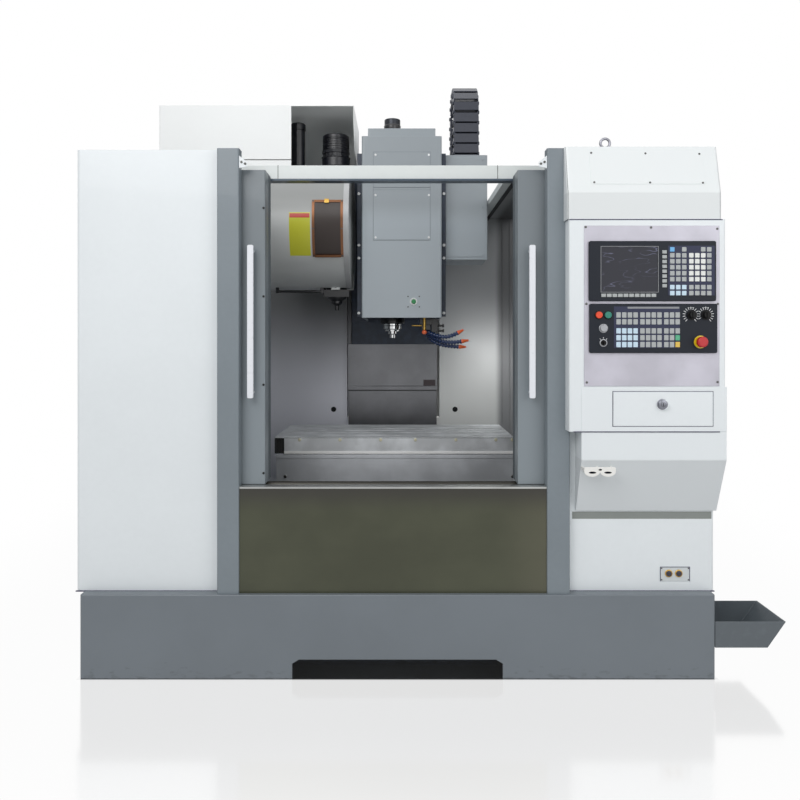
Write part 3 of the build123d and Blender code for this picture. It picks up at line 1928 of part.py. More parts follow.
# The electrical cabinet's door, hung on two hinges
with BuildPart() as power_door:
    door_low = power_bottom + 4
    door_high = power_top - 4
    block(
        power_left + 2,
        power_right - 2,
        power_back + flat_gap,
        power_back + flat_gap + door_thickness,
        door_low,
        door_high,
    )
    fillet(power_door.edges().filter_by(Axis.Z).group_by(Axis.Y)[-1], 4)
    block(
        power_left + 2 + sheet,
        power_right - 2 - sheet,
        power_back + flat_gap,
        power_back + flat_gap + door_thickness - sheet,
        door_low + sheet,
        door_high - sheet,
        mode=Mode.SUBTRACT,
    )
    for hinge_z in hinge_heights:
        post(hinge_x, hinge_y, hinge_z, hinge_z + hinge_length, hinge_radius)
        block(
            power_right - 5,
            hinge_x,
            hinge_y - 4,
            hinge_y + 4,
            hinge_z,
            hinge_z + hinge_length,
        )
        post(
            hinge_x,
            hinge_y,
            hinge_z,
            hinge_z + hinge_length,
            hinge_pin_radius + running_gap,
            Mode.SUBTRACT,
        )
    lever_x = power_left + 50
    lever_y = power_back + flat_gap + door_thickness
    block(lever_x - 14, lever_x + 14, lever_y, lever_y + 10, 960, 1100)
    block(lever_x - 9, lever_x + 9, lever_y + 10, back_reach, 1070, 1090)
    block(lever_x - 9, lever_x + 9, back_reach - 10, back_reach, 975, 1090)
pieces["power_door"] = power_door

for name, piece in pieces.items():
    piece.part.label = name
    export_step(piece.part, f"parts/{name}.step")
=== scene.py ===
"""The looks of a vertical machining centre, dressed over its CAD frame in the order of assembly."""

from math import atan2, cos, pi, radians, sin

import bmesh
import bpy
from mathutils import Matrix, Vector


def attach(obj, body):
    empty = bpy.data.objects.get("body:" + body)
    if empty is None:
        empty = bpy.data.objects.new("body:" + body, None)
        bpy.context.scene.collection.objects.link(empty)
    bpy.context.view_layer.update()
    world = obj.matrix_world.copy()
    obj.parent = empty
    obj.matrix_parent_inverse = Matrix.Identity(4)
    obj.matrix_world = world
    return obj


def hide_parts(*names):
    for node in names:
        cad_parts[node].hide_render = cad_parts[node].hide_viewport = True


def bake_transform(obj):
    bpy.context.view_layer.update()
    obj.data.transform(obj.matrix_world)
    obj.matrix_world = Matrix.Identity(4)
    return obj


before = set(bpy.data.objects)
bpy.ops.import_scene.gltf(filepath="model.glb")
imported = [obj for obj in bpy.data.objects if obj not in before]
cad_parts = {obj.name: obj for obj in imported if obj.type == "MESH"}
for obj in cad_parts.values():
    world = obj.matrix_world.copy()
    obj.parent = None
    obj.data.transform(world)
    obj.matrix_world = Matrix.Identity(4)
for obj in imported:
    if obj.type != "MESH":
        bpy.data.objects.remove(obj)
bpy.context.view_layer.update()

# The studio: a white floor and a white surround, lit softly from above and in front. The camera
# stands where the photographer did, 2.76 m before the base and 1.22 m up, level, with the view
# moved down a little.
MIDDLE_X, FRONT_Y = -111.0, -1080.0


def spot(x, y, z):
    """A place in machine millimetres: from the base's middle, behind its front face, off the floor."""
    return Vector(((MIDDLE_X + x) / 1000, (FRONT_Y + y) / 1000, z / 1000))


scene = bpy.context.scene
camera = bpy.data.objects.new("camera", bpy.data.cameras.new("camera"))
camera.data.lens = 34.5
camera.data.shift_y = -0.075
camera.data.clip_end = 60
camera.location = spot(9, -2760, 1220)
camera.rotation_euler = (pi / 2, 0, 0)
scene.collection.objects.link(camera)
scene.camera = camera
scene.view_settings.view_transform = "Standard"


class Wire:
    """A value or colour on its way through a finish, so that shader sums read as plain ones."""

    def __init__(self, finish, socket):
        self.finish, self.socket = finish, socket

    def sum(self, operation, *values):
        return self.finish.node("ShaderNodeMath", {"operation": operation}, dict(enumerate(values)))

    def __rsub__(self, other):
        return self.sum("SUBTRACT", other, self)

    def __abs__(self):
        return self.sum("ABSOLUTE", self)


for method, operation in (
    ("__add__", "ADD"),
    ("__radd__", "ADD"),
    ("__sub__", "SUBTRACT"),
    ("__mul__", "MULTIPLY"),
    ("__truediv__", "DIVIDE"),
    ("__gt__", "GREATER_THAN"),
    ("__lt__", "LESS_THAN"),
):
    setattr(Wire, method, lambda self, other, operation=operation: self.sum(operation, self, other))


class Finish:
    """One surface finish: a Principled shader and the nodes that vary it over a piece."""

    def __init__(self, name, colour, roughness, metallic=0.0, coat=0.0, specular=0.5):
        self.material = bpy.data.materials.new(name)
        self.material.use_nodes = True
        self.tree = self.material.node_tree
        self.shader = self.tree.nodes["Principled BSDF"]
        self.colour = (*colour[:3], 1)
        self.set("Base Color", self.colour)
        self.set("Roughness", roughness)
        self.set("Metallic", metallic)
        self.set("Coat Weight", coat)
        self.set("Specular IOR Level", specular)
        self.place = self.node("ShaderNodeTexCoord", output="Object")

    def set(self, name, value):
        """Gives a socket of the shader a value or a wire."""
        if isinstance(value, Wire):
            self.tree.links.new(value.socket, self.shader.inputs[name])
        else:
            self.shader.inputs[name].default_value = value

    def node(self, kind, settings=None, sockets=None, output=0):
        """Adds a node with its settings and its sockets' values or wires, and gives its output."""
        made = self.tree.nodes.new(kind)
        for key, value in (settings or {}).items():
            setattr(made, key, value)
        for key, value in (sockets or {}).items():
            if isinstance(value, Wire):
                self.tree.links.new(value.socket, made.inputs[key])
            else:
                made.inputs[key].default_value = value
        return Wire(self, made.outputs[output])

    def stretched(self, x=1.0, y=1.0, z=1.0):
        """Object coordinates, scaled along each axis."""
        return self.node("ShaderNodeMapping", None, {"Vector": self.place, "Scale": (x, y, z)})

    def noise(self, scale, detail=3, vector=None):
        sockets = {"Vector": vector or self.place, "Scale": scale, "Detail": detail}
        return self.node("ShaderNodeTexNoise", None, sockets)

    def axis(self, name):
        """One object coordinate, in metres."""
        return self.node("ShaderNodeSeparateXYZ", None, {"Vector": self.place}, output=name)

    def clear(self, value, low, high):
        """A smooth mask, 0 at low and 1 at high."""
        sockets = {"Value": value, "From Min": low, "From Max": high}
        return self.node("ShaderNodeMapRange", {"interpolation_type": "SMOOTHSTEP"}, sockets)

    def blend(self, mask, first, second):
        """Mixes two colours by a mask."""
        sockets = {"Factor": mask, 6: first, 7: second}
        return self.node("ShaderNodeMix", {"data_type": "RGBA"}, sockets, output=2)

    def shade(self, factor):
        """This finish's colour times a number, as a plain colour."""
        return (*(min(1.0, part * factor) for part in self.colour[:3]), 1)

    def shades(self, mask, low, high):
        """Mixes two shades of this finish's colour by a mask."""
        return self.blend(mask, self.shade(low), self.shade(high))

    def clouded(self, wander):
        """This finish's colour with soft clouds in it."""
        return self.shades(self.clear(self.noise(2.4, 4), 0.3, 0.7), 1 - wander, 1 + wander)

    def toned(self, value, start, end, low, high):
        """Varies the colour from one shade of it to another as a value runs from start to end."""
        self.set("Base Color", self.shades(self.clear(value, start, end), low, high))

    def bump(self, height, distance, strength):
        sockets = {"Height": height, "Distance": distance, "Strength": strength}
        self.set("Normal", self.node("ShaderNodeBump", None, sockets))


def seen_white(finish, output, lit, seen):
    """Sends one shader to what is lit and one to the camera, a reflection or a glass."""
    kinds = ("Camera", "Glossy", "Transmission")
    rays = [finish.node("ShaderNodeLightPath", output=f"Is {kind} Ray") for kind in kinds]
    mixed = finish.node("ShaderNodeMixShader", None, {0: rays[0] + rays[1] + rays[2], 1: lit, 2: seen})
    finish.tree.links.new(mixed.socket, finish.tree.nodes[output].inputs["Surface"])


surround = bpy.data.worlds.new("surround")
surround.use_nodes = True
scene.world = surround
sky = Finish.__new__(Finish)
sky.tree = surround.node_tree
ambient = sky.node("ShaderNodeBackground", None, {"Color": (0.95, 0.97, 1.0, 1), "Strength": 0.42})
white = sky.node("ShaderNodeBackground", None, {"Color": (1, 1, 1, 1), "Strength": 1.0})
seen_white(sky, "World Output", ambient, white)

# The floor: pure white to the camera. It mirrors the machine faintly under the base tray alone and
# fades to plain white around it, and what is lit sees it as a light grey sheet.
studio = Finish("studio_floor", (0.62, 0.62, 0.62), 0.5)
glow = studio.node("ShaderNodeEmission", None, {"Color": (1, 1, 1, 1), "Strength": 1.0})
beside = abs(studio.axis("X") + 0.111) - 1.145
behind = abs(studio.axis("Y") + 0.205) - 0.875
reach = beside.sum("MAXIMUM", beside, behind)
share = studio.clear(reach, 0, 0.012) * 0.74 + studio.clear(reach, 0.3, 1.6) * 0.25 + 0.01
mirror = studio.node("ShaderNodeBsdfAnisotropic", None, {"Color": (0.9, 0.9, 0.9, 1), "Roughness": 0.12})
polished = studio.node("ShaderNodeMixShader", None, {0: share, 1: mirror, 2: glow})
seen_white(studio, "Material Output", Wire(studio, studio.shader.outputs[0]), polished)
ground = bmesh.new()
bmesh.ops.create_grid(ground, x_segments=1, y_segments=1, size=30)
floor = bpy.data.objects.new("studio_floor", bpy.data.meshes.new("studio_floor"))
ground.to_mesh(floor.data)
floor.data.materials.append(studio.material)
scene.collection.objects.link(floor)

for name, place, aim, size, power in (
    ("key_light", (-1500, -3200, 3600), (0, 600, 1100), 2.6, 78),
    ("fill_light", (2300, -2600, 2200), (300, 400, 1100), 2.4, 28),
    ("top_light", (0, 900, 4600), (0, 900, 0), 3.0, 30),
    ("cabin_light", (560, 1000, 1150), (380, 1490, 1000), 0.3, 1.0),
):
    lamp = bpy.data.objects.new(name, bpy.data.lights.new(name, "AREA"))
    lamp.data.size = size
    lamp.data.energy = power
    lamp.visible_camera = False
    lamp.location = spot(*place)
    lamp.rotation_euler = (spot(*aim) - lamp.location).to_track_quat("-Z", "Y").to_euler()
    scene.collection.objects.link(lamp)

# The base tray: a welded steel skirt in grey-blue machine paint, folded over at the top, with a
# notch at the front where a pallet truck goes under. Boots and trolleys scuff its lower edge.


def linear(red, green, blue):
    """A colour as a paint card gives it, 0 to 255, for the shader."""
    return (*((part / 255) ** 2.2 for part in (red, green, blue)), 1)


def painted(name, card, roughness=0.4, wander=0.05):
    """Baked machine paint: an orange-peel skin, faint clouds in its colour and dust in its gloss."""
    finish = Finish(name, linear(*card), roughness, coat=0.15)
    clouds = finish.noise(2.4, 4)
    dust = finish.noise(55, 5)
    finish.toned(clouds * 0.75 + dust * 0.25, 0.3, 0.7, 1 - wander, 1 + wander)
    finish.set("Roughness", roughness + (dust - 0.5) * 0.22)
    finish.bump(finish.noise(420, 2), 0.00012, 0.5)
    return finish


def finished(name, shape, finish, body="machine", smooth=32, bevel=0.0):
    """Makes a bmesh an object in its finish, riding on its body if it keeps to one."""
    bmesh.ops.recalc_face_normals(shape, faces=shape.faces)
    mesh = bpy.data.meshes.new(name)
    shape.to_mesh(mesh)
    shape.free()
    mesh.materials.append(finish.material)
    mesh.shade_smooth()
    mesh.set_sharp_from_angle(angle=radians(smooth))
    piece = bpy.data.objects.new(name, mesh)
    scene.collection.objects.link(piece)
    if bevel:
        rounding = piece.modifiers.new("rounded edges", "BEVEL")
        rounding.width = bevel
        rounding.segments = 2
        rounding.limit_method = "ANGLE"
        rounding.angle_limit = radians(40)
        weighting = piece.modifiers.new("flat faces", "WEIGHTED_NORMAL")
        weighting.keep_sharp = True
    if body:
        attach(piece, body)
    return piece


def part_of(node, keep=None):
    """A CAD node's own shape, or those of its bodies that keep picks by their middle, facets joined."""
    shape = bmesh.new()
    shape.from_mesh(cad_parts[node].data)
    bmesh.ops.remove_doubles(shape, verts=shape.verts, dist=0.00001)
    left = set(shape.faces) if keep else set()
    dropped = []
    while left:
        run, group = [left.pop()], []
        while run:
            group.append(run.pop())
            near = {other for edge in group[-1].edges for other in edge.link_faces} & left
            left -= near
            run += near
        corners = [vert.co * 1000 for face in group for vert in face.verts]
        middle = [(min(c[i] for c in corners) + max(c[i] for c in corners)) / 2 for i in range(3)]
        if not keep(middle[0] - MIDDLE_X, middle[1] - FRONT_Y, middle[2]):
            dropped += group
    bmesh.ops.delete(shape, geom=dropped, context="FACES")
    bmesh.ops.dissolve_limit(shape, angle_limit=radians(1), verts=shape.verts, edges=shape.edges)
    return shape


def dressed(node, finish, body="machine", bevel=0.0012, smooth=32, keep=None):
    """A CAD node's own shape with its edges rounded, in its finish."""
    piece = finished(f"{node}_dressed", part_of(node, keep), finish, body, smooth, bevel)
    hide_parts(node)


base_paint = painted("base_paint", (113, 120, 126), 0.42)
scuffs = base_paint.noise(26, 6, base_paint.stretched(1, 1, 2.5))
worn = base_paint.clear(scuffs - base_paint.axis("Z") * 3.2, 0.46, 0.62)
base_paint.set("Base Color", base_paint.blend(worn, base_paint.clouded(0.05), base_paint.shade(0.8)))
dressed("base_tray", base_paint, bevel=0.004)

# The bed, the saddle and the column: grey-iron castings, sand-cast and painted in near-black
# navy, with the dull pimpled skin that casting leaves under the paint.


def cast(name, card, roughness=0.5):
    """Paint over a sand-cast skin: soft lumps, fine pits and a little uneven gloss."""
    finish = Finish(name, linear(*card), roughness, coat=0.1)
    lumps = finish.noise(38, 6)
    pits = finish.noise(190, 3)
    finish.toned(lumps, 0.35, 0.7, 0.82, 1.15)
    finish.set("Roughness", roughness + (pits - 0.5) * 0.3)
    finish.bump(lumps * 0.7 + pits * 0.3, 0.0012, 0.6)
    return finish


casting_paint = cast("casting_paint", (46, 56, 72))
for node, body in (("bed", "machine"), ("column", "machine"), ("saddle", "saddle"), ("head_casting", "head")):
    dressed(node, casting_paint, body, bevel=0.003)

# The guides, ball screws and levelling feet: ground and oiled bright steel, with the scratches of
# the grinding wheel along it and smears of way oil over them.


def ground_steel(name, card, roughness, along, grain=0.00004, metallic=0.9):
    """Steel ground or brushed along one axis: fine parallel scratches and smears of oil."""
    finish = Finish(name, linear(*card), roughness, metallic)
    scale = {"X": (4, 900, 900), "Y": (900, 4, 900), "Z": (900, 900, 4)}[along]
    scratches = finish.noise(1.0, 4, finish.stretched(*scale))
    smears = finish.noise(7, 4)
    finish.toned(smears, 0.3, 0.75, 0.86, 1.08)
    finish.set("Roughness", roughness + (scratches - 0.5) * 0.22 + (smears - 0.5) * 0.16)
    finish.bump(scratches, grain, 0.4)
    return finish


guide_steel = ground_steel("guide_steel", (168, 170, 172), 0.3, "Y")
for node in ("y_ways", "x_ways", "z_ways", "levelling_feet"):
    dressed(node, guide_steel, "saddle" if node == "x_ways" else "machine", bevel=0.0006)

# The side covers: steel sheet folded round the machine's corners, with a roof and a door pocket
# each, and baked in off-white.
cover_paint = painted("cover_paint", (235, 240, 242), 0.38, wander=0.02)
for side in ("left", "right"):
    dressed(f"{side}_cover", cover_paint, bevel=0)

# The two front posts: folded channels in mid grey, each with a small gusset screwed in its
# inner top corner.
post_paint = painted("post_paint", (124, 133, 139), 0.4)
for node in ("left_post", "right_post"):
    dressed(node, post_paint, bevel=0)


def slab(shape, low, high):
    """Adds a box between two corners in machine millimetres."""
    size = [(high[i] - low[i]) / 1000 for i in range(3)]
    middle = spot(*((low[i] + high[i]) / 2 for i in range(3)))
    bmesh.ops.create_cube(shape, size=1, matrix=Matrix.Translation(middle) @ Matrix.Diagonal((*size, 1)))


def slabs(*boxes):
    """A new shape of boxes, each a row of its low corner and its high corner."""
    shape = bmesh.new()
    for box in boxes:
        slab(shape, box[:3], box[3:])
    return shape


def turned(shape, place, outline, facing="-Y", segments=24):
    """Adds a turned form: outline is (distance out, radius) pairs in millimetres along its axis."""
    axis = {"-Y": (0, -1, 0), "Z": (0, 0, 1), "-Z": (0, 0, -1), "X": (1, 0, 0), "-X": (-1, 0, 0)}
    direction = Vector(axis[facing]) if isinstance(facing, str) else Vector(facing).normalized()
    out = direction.orthogonal().normalized()
    centre = spot(*place)
    before = set(shape.verts)
    places = [centre + direction * far / 1000 + out * radius / 1000 for far, radius in outline]
    verts = [shape.verts.new(place) for place in places]
    edges = [shape.edges.new(pair) for pair in zip(verts, verts[1:])]
    bmesh.ops.spin(
        shape, geom=verts + edges, cent=centre, axis=direction, angle=2 * pi, steps=segments, use_merge=True
    )
    fresh = [vert for vert in shape.verts if vert not in before]
    bmesh.ops.remove_doubles(shape, verts=fresh, dist=0.000002)


def screw_heads(name, places, finish, body="machine", radius=4.5, facing="-Y", rise=2.6):
    """A row of socket-head screws, each a low turned head with its driving hole."""
    shape = bmesh.new()
    rim = (0, radius), (rise * 0.75, radius), (rise, radius * 0.82)
    hole = (rise, radius * 0.45), (rise * 0.3, radius * 0.42), (rise * 0.3, 0)
    for place in places:
        turned(shape, place, rim + hole, facing, segments=12)
    return finished(name, shape, finish, body, smooth=40)


def pressed(shape, outline, front_y, thick):
    """Adds a flat plate with this outline of (x, z) corners, this thick behind its front."""
    face = shape.faces.new([shape.verts.new(spot(x, front_y, z)) for x, z in outline])
    pulled = bmesh.ops.extrude_face_region(shape, geom=[face])["geom"]
    back = [part for part in pulled if isinstance(part, bmesh.types.BMVert)]
    bmesh.ops.translate(shape, vec=(0, thick / 1000, 0), verts=back)


def plain(name, colour, low, spread, scale, detail=3, metallic=0.0):
    """One colour all over, with a gloss that wanders."""
    finish = Finish(name, colour, low, metallic)
    finish.set("Roughness", low + finish.noise(scale, detail) * spread)
    return finish


screw_steel = ground_steel("screw_steel", (92, 92, 90), 0.34, "Z")
black_screw = plain("black_screw", (0.012, 0.012, 0.013), 0.26, 0.2, 300, 2, 0.6)
gussets = bmesh.new()
for side, x in ((1, -573.5), (-1, 541)):
    corners = ((0, 0), (30, -24), (30, -40), (0, -46))
    pressed(gussets, [(x + side * across, 1888 + down) for across, down in corners], 14, 3)
finished("post_gussets", gussets, cover_paint, bevel=0.001)
gusset_screws = [(-573.5 + 9, 14, 1864), (-573.5 + 22, 14, 1858), (541 - 9, 14, 1864), (541 - 22, 14, 1858)]
screw_heads("gusset_screws", gusset_screws, screw_steel)

# The apron under the doors: stainless sheet, brushed along its length, folded at the top into a
# sill and the channel that the doors run in. Its dark colour and cloudy patches are a painted
# reflection of a dark workshop.
apron = Finish("apron_stainless", linear(76, 78, 64), 0.34, 0.5)
grain = apron.noise(1.0, 4, apron.stretched(3, 3, 1600))
patches = apron.noise(2.2, 4, apron.stretched(1, 1, 2.4))
mottle = apron.noise(9, 3) * 0.3
cloudy = apron.clear(patches * 0.55 + mottle + grain * 0.15, 0.32, 0.68)
painted_reflection = apron.shades(cloudy, 0.84, 1.08)
# Painted light and shade: the apron is lighter towards the right and darker under the sill at the top.
painted_light_right = apron.clear(apron.axis("X"), 0.22, 0.43) * 0.45
painted_reflection = apron.blend(painted_light_right, painted_reflection, linear(98, 96, 82))
painted_shade_under_sill = apron.clear(apron.axis("Z"), 0.585, 0.685) * 0.85
apron.set("Base Color", apron.blend(painted_shade_under_sill, painted_reflection, linear(60, 58, 56)))
apron.set("Roughness", 0.34 + (grain - 0.5) * 0.12 + (patches - 0.5) * 0.2)
apron.bump(grain, 0.00002, 0.3)
dressed("front_apron", apron, bevel=0)
sill = slabs((-573, 19.2, 681, 540.6, 20, 687.4), (-573, 19.2, 687, 540.6, 63, 687.6))
sill_steel = ground_steel("sill_steel", (176, 178, 176), 0.32, "X")
finished("apron_sill_edge", sill, sill_steel)

# The sliding doors: folded sheet boxes in grey, each with a rubber gasket round its pane, a grey
# seal and a steel strip down its closing edge, and a flat bar handle on two round posts.
door_paint = painted("door_paint", (125, 133, 138), 0.4)
# Painted light and shade: the doors' grey is lighter towards the bottom and darker towards the top.
door_paint.toned(door_paint.axis("Z"), 1.7, 0.8, 0.86, 1.14)
rubber = Finish("seal_rubber", (0.034, 0.035, 0.036), 0.62)
rubber_grain = rubber.noise(260, 3)
rubber.set("Roughness", 0.52 + rubber_grain * 0.22)
rubber.bump(rubber_grain, 0.0003, 0.5)
door_glass = Finish("door_glass", (0.16, 0.19, 0.2), 0.06, coat=0.5)
door_glass.set("Alpha", 0.42 + (door_glass.noise(6, 4) - 0.5) * 0.1)
door_glass.set("Roughness", 0.05 + door_glass.noise(22, 5) * 0.1)


def pane_gasket(x0, x1, z0, z1, radius=30):
    """A new shape: a flat frame round a pane, its corners rounded."""
    shape = bmesh.new()
    x0, x1, z0, z1 = x0 + radius, x1 - radius, z0 + radius, z1 - radius
    centres = ((x1, z1), (x0, z1), (x0, z0), (x1, z0))
    turns = [(x, z, radians(corner * 90 + step * 15)) for corner, (x, z) in enumerate(centres) for step in range(7)]
    rings = []
    for y in (64.4, 69.2):
        for reach in (radius - 9, radius + 0.4):
            places = [spot(x + reach * cos(turn), y, z + reach * sin(turn)) for x, z, turn in turns]
            rings.append([shape.verts.new(place) for place in places])
    for first, second in ((0, 1), (1, 3), (3, 2), (2, 0)):
        for i in range(len(turns)):
            shape.faces.new((rings[first][i - 1], rings[first][i], rings[second][i], rings[second][i - 1]))
    return shape


seal_grey = plain("edge_seal", linear(88, 95, 100), 0.52, 0.2, 260)
for body, edge, way in (("left_door", -488, -1), ("right_door", 443, 1)):
    dressed(body, door_paint, body, bevel=0, keep=lambda x, y, z: y > 90)
    finished(f"{body}_pane", part_of(body, lambda x, y, z: y < 90), door_glass, body)
    near, far = sorted((edge + way * 100, edge + way * 490))
    finished(f"{body}_gasket", pane_gasket(near, far, 890, 1610), rubber, body, bevel=0.0008)
    near, far = sorted((edge, edge - way * 0.9))
    finished(f"{body}_seal", slabs((near, 138, 694, far, 182, 1843)), seal_grey, body)
    near, far = sorted((edge + way * 3, edge + way * 21))
    strip = slabs((near, 182, 694, far, 184.5, 1843))
    finished(f"{body}_seal_strip", strip, sill_steel, body, bevel=0.0008)
screw_places = [(-494, 67, z) for z in (729, 1055, 1381, 1707)]
screw_heads("left_door_screws", screw_places, black_screw, "left_door", 4.5, rise=1.6)
handle_paint = painted("handle_paint", (236, 238, 243), 0.3, wander=0.015)
for side in ("left", "right"):
    dressed(f"{side}_handle", handle_paint, f"{side}_door", bevel=0.0015)

# The rear wall behind the work: brushed stainless sheets, with a folded seam at each joint and two
# holes with black rims. Their colour carries painted light and shade: lighter low down, darker
# towards the top, and a painted shadow of the roof over the right part.
wall_steel = ground_steel("wall_stainless", (196, 198, 200), 0.42, "Z", metallic=0.25)
# Painted light and shade: lighter low down, darker towards the top, and a painted roof shadow at the right.
lit = wall_steel.clear(wall_steel.axis("Z"), 1.5, 0.8)
left_painted_light = wall_steel.blend(lit, wall_steel.shade(0.24), linear(228, 229, 238))
right_painted_light = wall_steel.blend(lit, wall_steel.shade(0.6), linear(220, 222, 220))
painted_roof_shadow = wall_steel.shades(lit, 0.25, 0.5)
across = wall_steel.axis("X") + 0.111 + (wall_steel.noise(3, 2) - 0.5) * 0.02
beyond = wall_steel.blend(wall_steel.clear(across, 0.53, 0.57), right_painted_light, painted_roof_shadow)
wall_steel.set("Base Color", wall_steel.blend(wall_steel.clear(across, -0.1, 0.1), left_painted_light, beyond))
dressed("rear_wall", wall_steel, bevel=0)
wall_folds = slabs(
    *((x, 1486, 430, x + 5, 1490, 1892) for x in (574, 614, 655)),
    *((x, 1494, 690, x + 22.5, 1497, 792) for x in (-284.5, 206)),
)
finished("rear_wall_folds", wall_folds, wall_steel, bevel=0.001)
wall_holes = bmesh.new()
for x in (-359, 314):
    turned(wall_holes, (x, 1492, 836), ((0, 13), (1, 13), (1, 0)), "-Y", 20)
    turned(wall_holes, (x, 1490, 836), ((0, 12), (0, 14.5), (1.6, 14.5), (1.6, 12)), "-Y", 24)
finished("rear_wall_holes", wall_holes, black_screw, smooth=40)

# The top frame: a square tube from cover to cover that guides the doors' tops, with a joint at
# each third, and two lighter tubes back to the rear wall. A slate track for the doors runs under
# the front tube, a dark one under each side tube, and a sheet closes the roof at the right.
beam_paint = painted("beam_paint", (222, 227, 225), 0.36, wander=0.03)
dressed("top_frame", beam_paint, bevel=0.001)
dark = plain("dark_gap", (0.012, 0.013, 0.015), 0.5, 0.25, 90)
track = slabs((-690, 186, 1832, 690, 236, 1840))
slate = painted("track_slate", (62, 76, 90), 0.42)
finished("door_top_track", track, slate, bevel=0.0006)
joints = slabs(*((x, 199.2, 1840, x + 2, 241.5, 1894.4) for x in (-463, 385)))
finished("beam_joints", joints, dark)
finished("roof_side_sheet", slabs((440, 245, 1894, 655, 1492, 1896)), wall_steel)
roof_track = slabs((466, 245, 1862, 484, 1488, 1874), (-738, 245, 1862, -720, 1488, 1874))
finished("roof_track", roof_track, dark, bevel=0.0006)

# The tool magazine's drum: a rolled sheet-metal housing in satin grey with a raised band round
# its right end, a copper-framed window on the front and a yellow field with a red band.
drum_metal = ground_steel("drum_metal", (172, 174, 173), 0.46, "X", metallic=0.2)
# Painted shade: the drum's grey is darker towards the top, shade of the beam and hood, and lighter below.
drum_metal.toned(drum_metal.axis("Z"), 1.72, 1.82, 1.5, 0.72)
dressed("magazine_shroud", drum_metal, bevel=0.001, smooth=40)
DRUM_Y, DRUM_Z, DRUM_RADIUS = 930, 1750, 290


def curved_plate(name, x0, x1, low, high, lift, finish, slot, thick=0.0006, steps=10):
    """A thin plate bent to the drum's front, between two angles up from straight ahead."""
    shape = bmesh.new()
    centre = spot(0, DRUM_Y, DRUM_Z)
    start = Matrix.Rotation(-radians(low), 3, "X") @ Vector((0, -(DRUM_RADIUS + lift) / 1000, 0))
    ends = [shape.verts.new(centre + start + Vector((x / 1000, 0, 0))) for x in (x0, x1)]
    line = ends + [shape.edges.new(ends)]
    turn = radians(high - low)
    bmesh.ops.spin(shape, geom=line, cent=centre, axis=(-1, 0, 0), angle=turn, steps=steps, use_merge=False)
    bmesh.ops.recalc_face_normals(shape, faces=shape.faces)
    bmesh.ops.solidify(shape, geom=shape.faces[:], thickness=thick)
    return finished(name, shape, finish)


band_steel = ground_steel("band_steel", (180, 181, 182), 0.4, "X", metallic=0.2)
label_yellow = painted("label_yellow", (206, 206, 58), 0.35, wander=0.02)
label_red = painted("label_red", (196, 52, 40), 0.35, wander=0.02)
copper = ground_steel("window_frame", (122, 84, 60), 0.34, "X", metallic=0.7)
window_pane = plain("window_pane", linear(50, 40, 36), 0.34, 0.16, 14, 5)
brass = ground_steel("brass", (196, 158, 84), 0.3, "Z", metallic=0.95)
for plate in (
    ("drum_band", -243.6, -219.2, -76, 256, 4.8, band_steel, "bright_steel", 0.0045, 96),
    ("drum_label", -483.8, -390.2, -31.5, 7.4, 0.2, label_yellow, "drum_metal"),
    ("drum_label_band", -481.4, -392.6, 2.6, 6.4, 0.6, label_red, "drum_metal"),
    ("drum_window_pane", -378, -248, -31.5, 18, 3.2, window_pane, "copper_frame", 0.003),
):
    curved_plate(*plate)
frame_bars = ((-382, -371, -32, 18.5), (-255, -244, -32, 18.5), (-371, -255, 16.3, 18.5), (-371, -255, -32, -29.8))
window_bars = [curved_plate("drum_window_frame", *bar, 6.2, copper, "copper_frame", 0.006) for bar in frame_bars]
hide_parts("magazine_window")
window_screws = bmesh.new()
for angle in (17.4, -7, -30.8):
    out = (0, -cos(radians(angle)), sin(radians(angle)))
    screw_y, screw_z = DRUM_Y + out[1] * (DRUM_RADIUS + 6), DRUM_Z + out[2] * (DRUM_RADIUS + 6)
    for x in (-376.5, -249.5):
        outline = ((-1, 4), (1.6, 4), (2.2, 3.2), (2.2, 1.8), (0.8, 1.6), (0.8, 0))
        turned(window_screws, (x, screw_y, screw_z), outline, out, 12)
finished("window_screws", window_screws, screw_steel, smooth=40)
curved_plate("window_catch", -327, -307, 15.6, 19.2, 9, brass, "copper_frame", 0.0028)

# The carousel inside the drum, the tool pot at its foot, and the rod and plate of the pot's gate,
# all of black moulded plastic.
pot_plastic = painted("pot_plastic", (30, 31, 34), 0.38, wander=0.12)
for node in ("carousel", "tool_pot"):
    dressed(node, pot_plastic, node, bevel=0.0008, smooth=40)
gate = bmesh.new()
turned(gate, (-576, 872, 1450), ((0, 0), (0, 6), (224, 6), (224, 0)), "X", 14)
for x in (-578, -366):
    slab(gate, (x, 863, 1441), (x + 14, 881, 1470))
slab(gate, (-352, 872, 1424), (-232, 876, 1459))
finished("pot_gate", gate, pot_plastic, smooth=40, bevel=0.0008)

# The hood over the magazine's drives: a folded white box, open below and at its right front, where
# the two motors stand with their foot, cooling fins and end caps.
hood_white = painted("hood_paint", (246, 248, 247), 0.38, wander=0.015)
dressed("magazine_hood", hood_white, bevel=0)
finished("hood_lip", slabs((-1100, 770, 2016, -492, 771.5, 2052)), hood_white)
motor_black = cast("motor_black", (20, 22, 30), 0.36)
dressed("servo_motors", motor_black, bevel=0.003, smooth=40)
motor_trim = bmesh.new()
foot = ((0, 69), (6, 69.5), (8, 62), (20, 62), (22, 66), (34, 66), (36, 61))
turned(motor_trim, (-299, 930, 2090), foot, "Z", 10)
turned(motor_trim, (-299, 930, 2194), ((-14, 60.5), (-12, 63), (2, 63), (8, 54), (10, 0)), "Z", 32)
turned(motor_trim, (-481, 930, 2255), ((-30, 33.5), (-28, 36), (-2, 36), (4, 31), (6, 0)), "Z", 28)
for fin in range(5):
    turned(motor_trim, (-299, 930, 2130 + fin * 11), ((0, 60.4), (0, 64), (4, 64), (4, 60.4)), "Z", 32)
finished("motor_trim", motor_trim, motor_black, smooth=30)

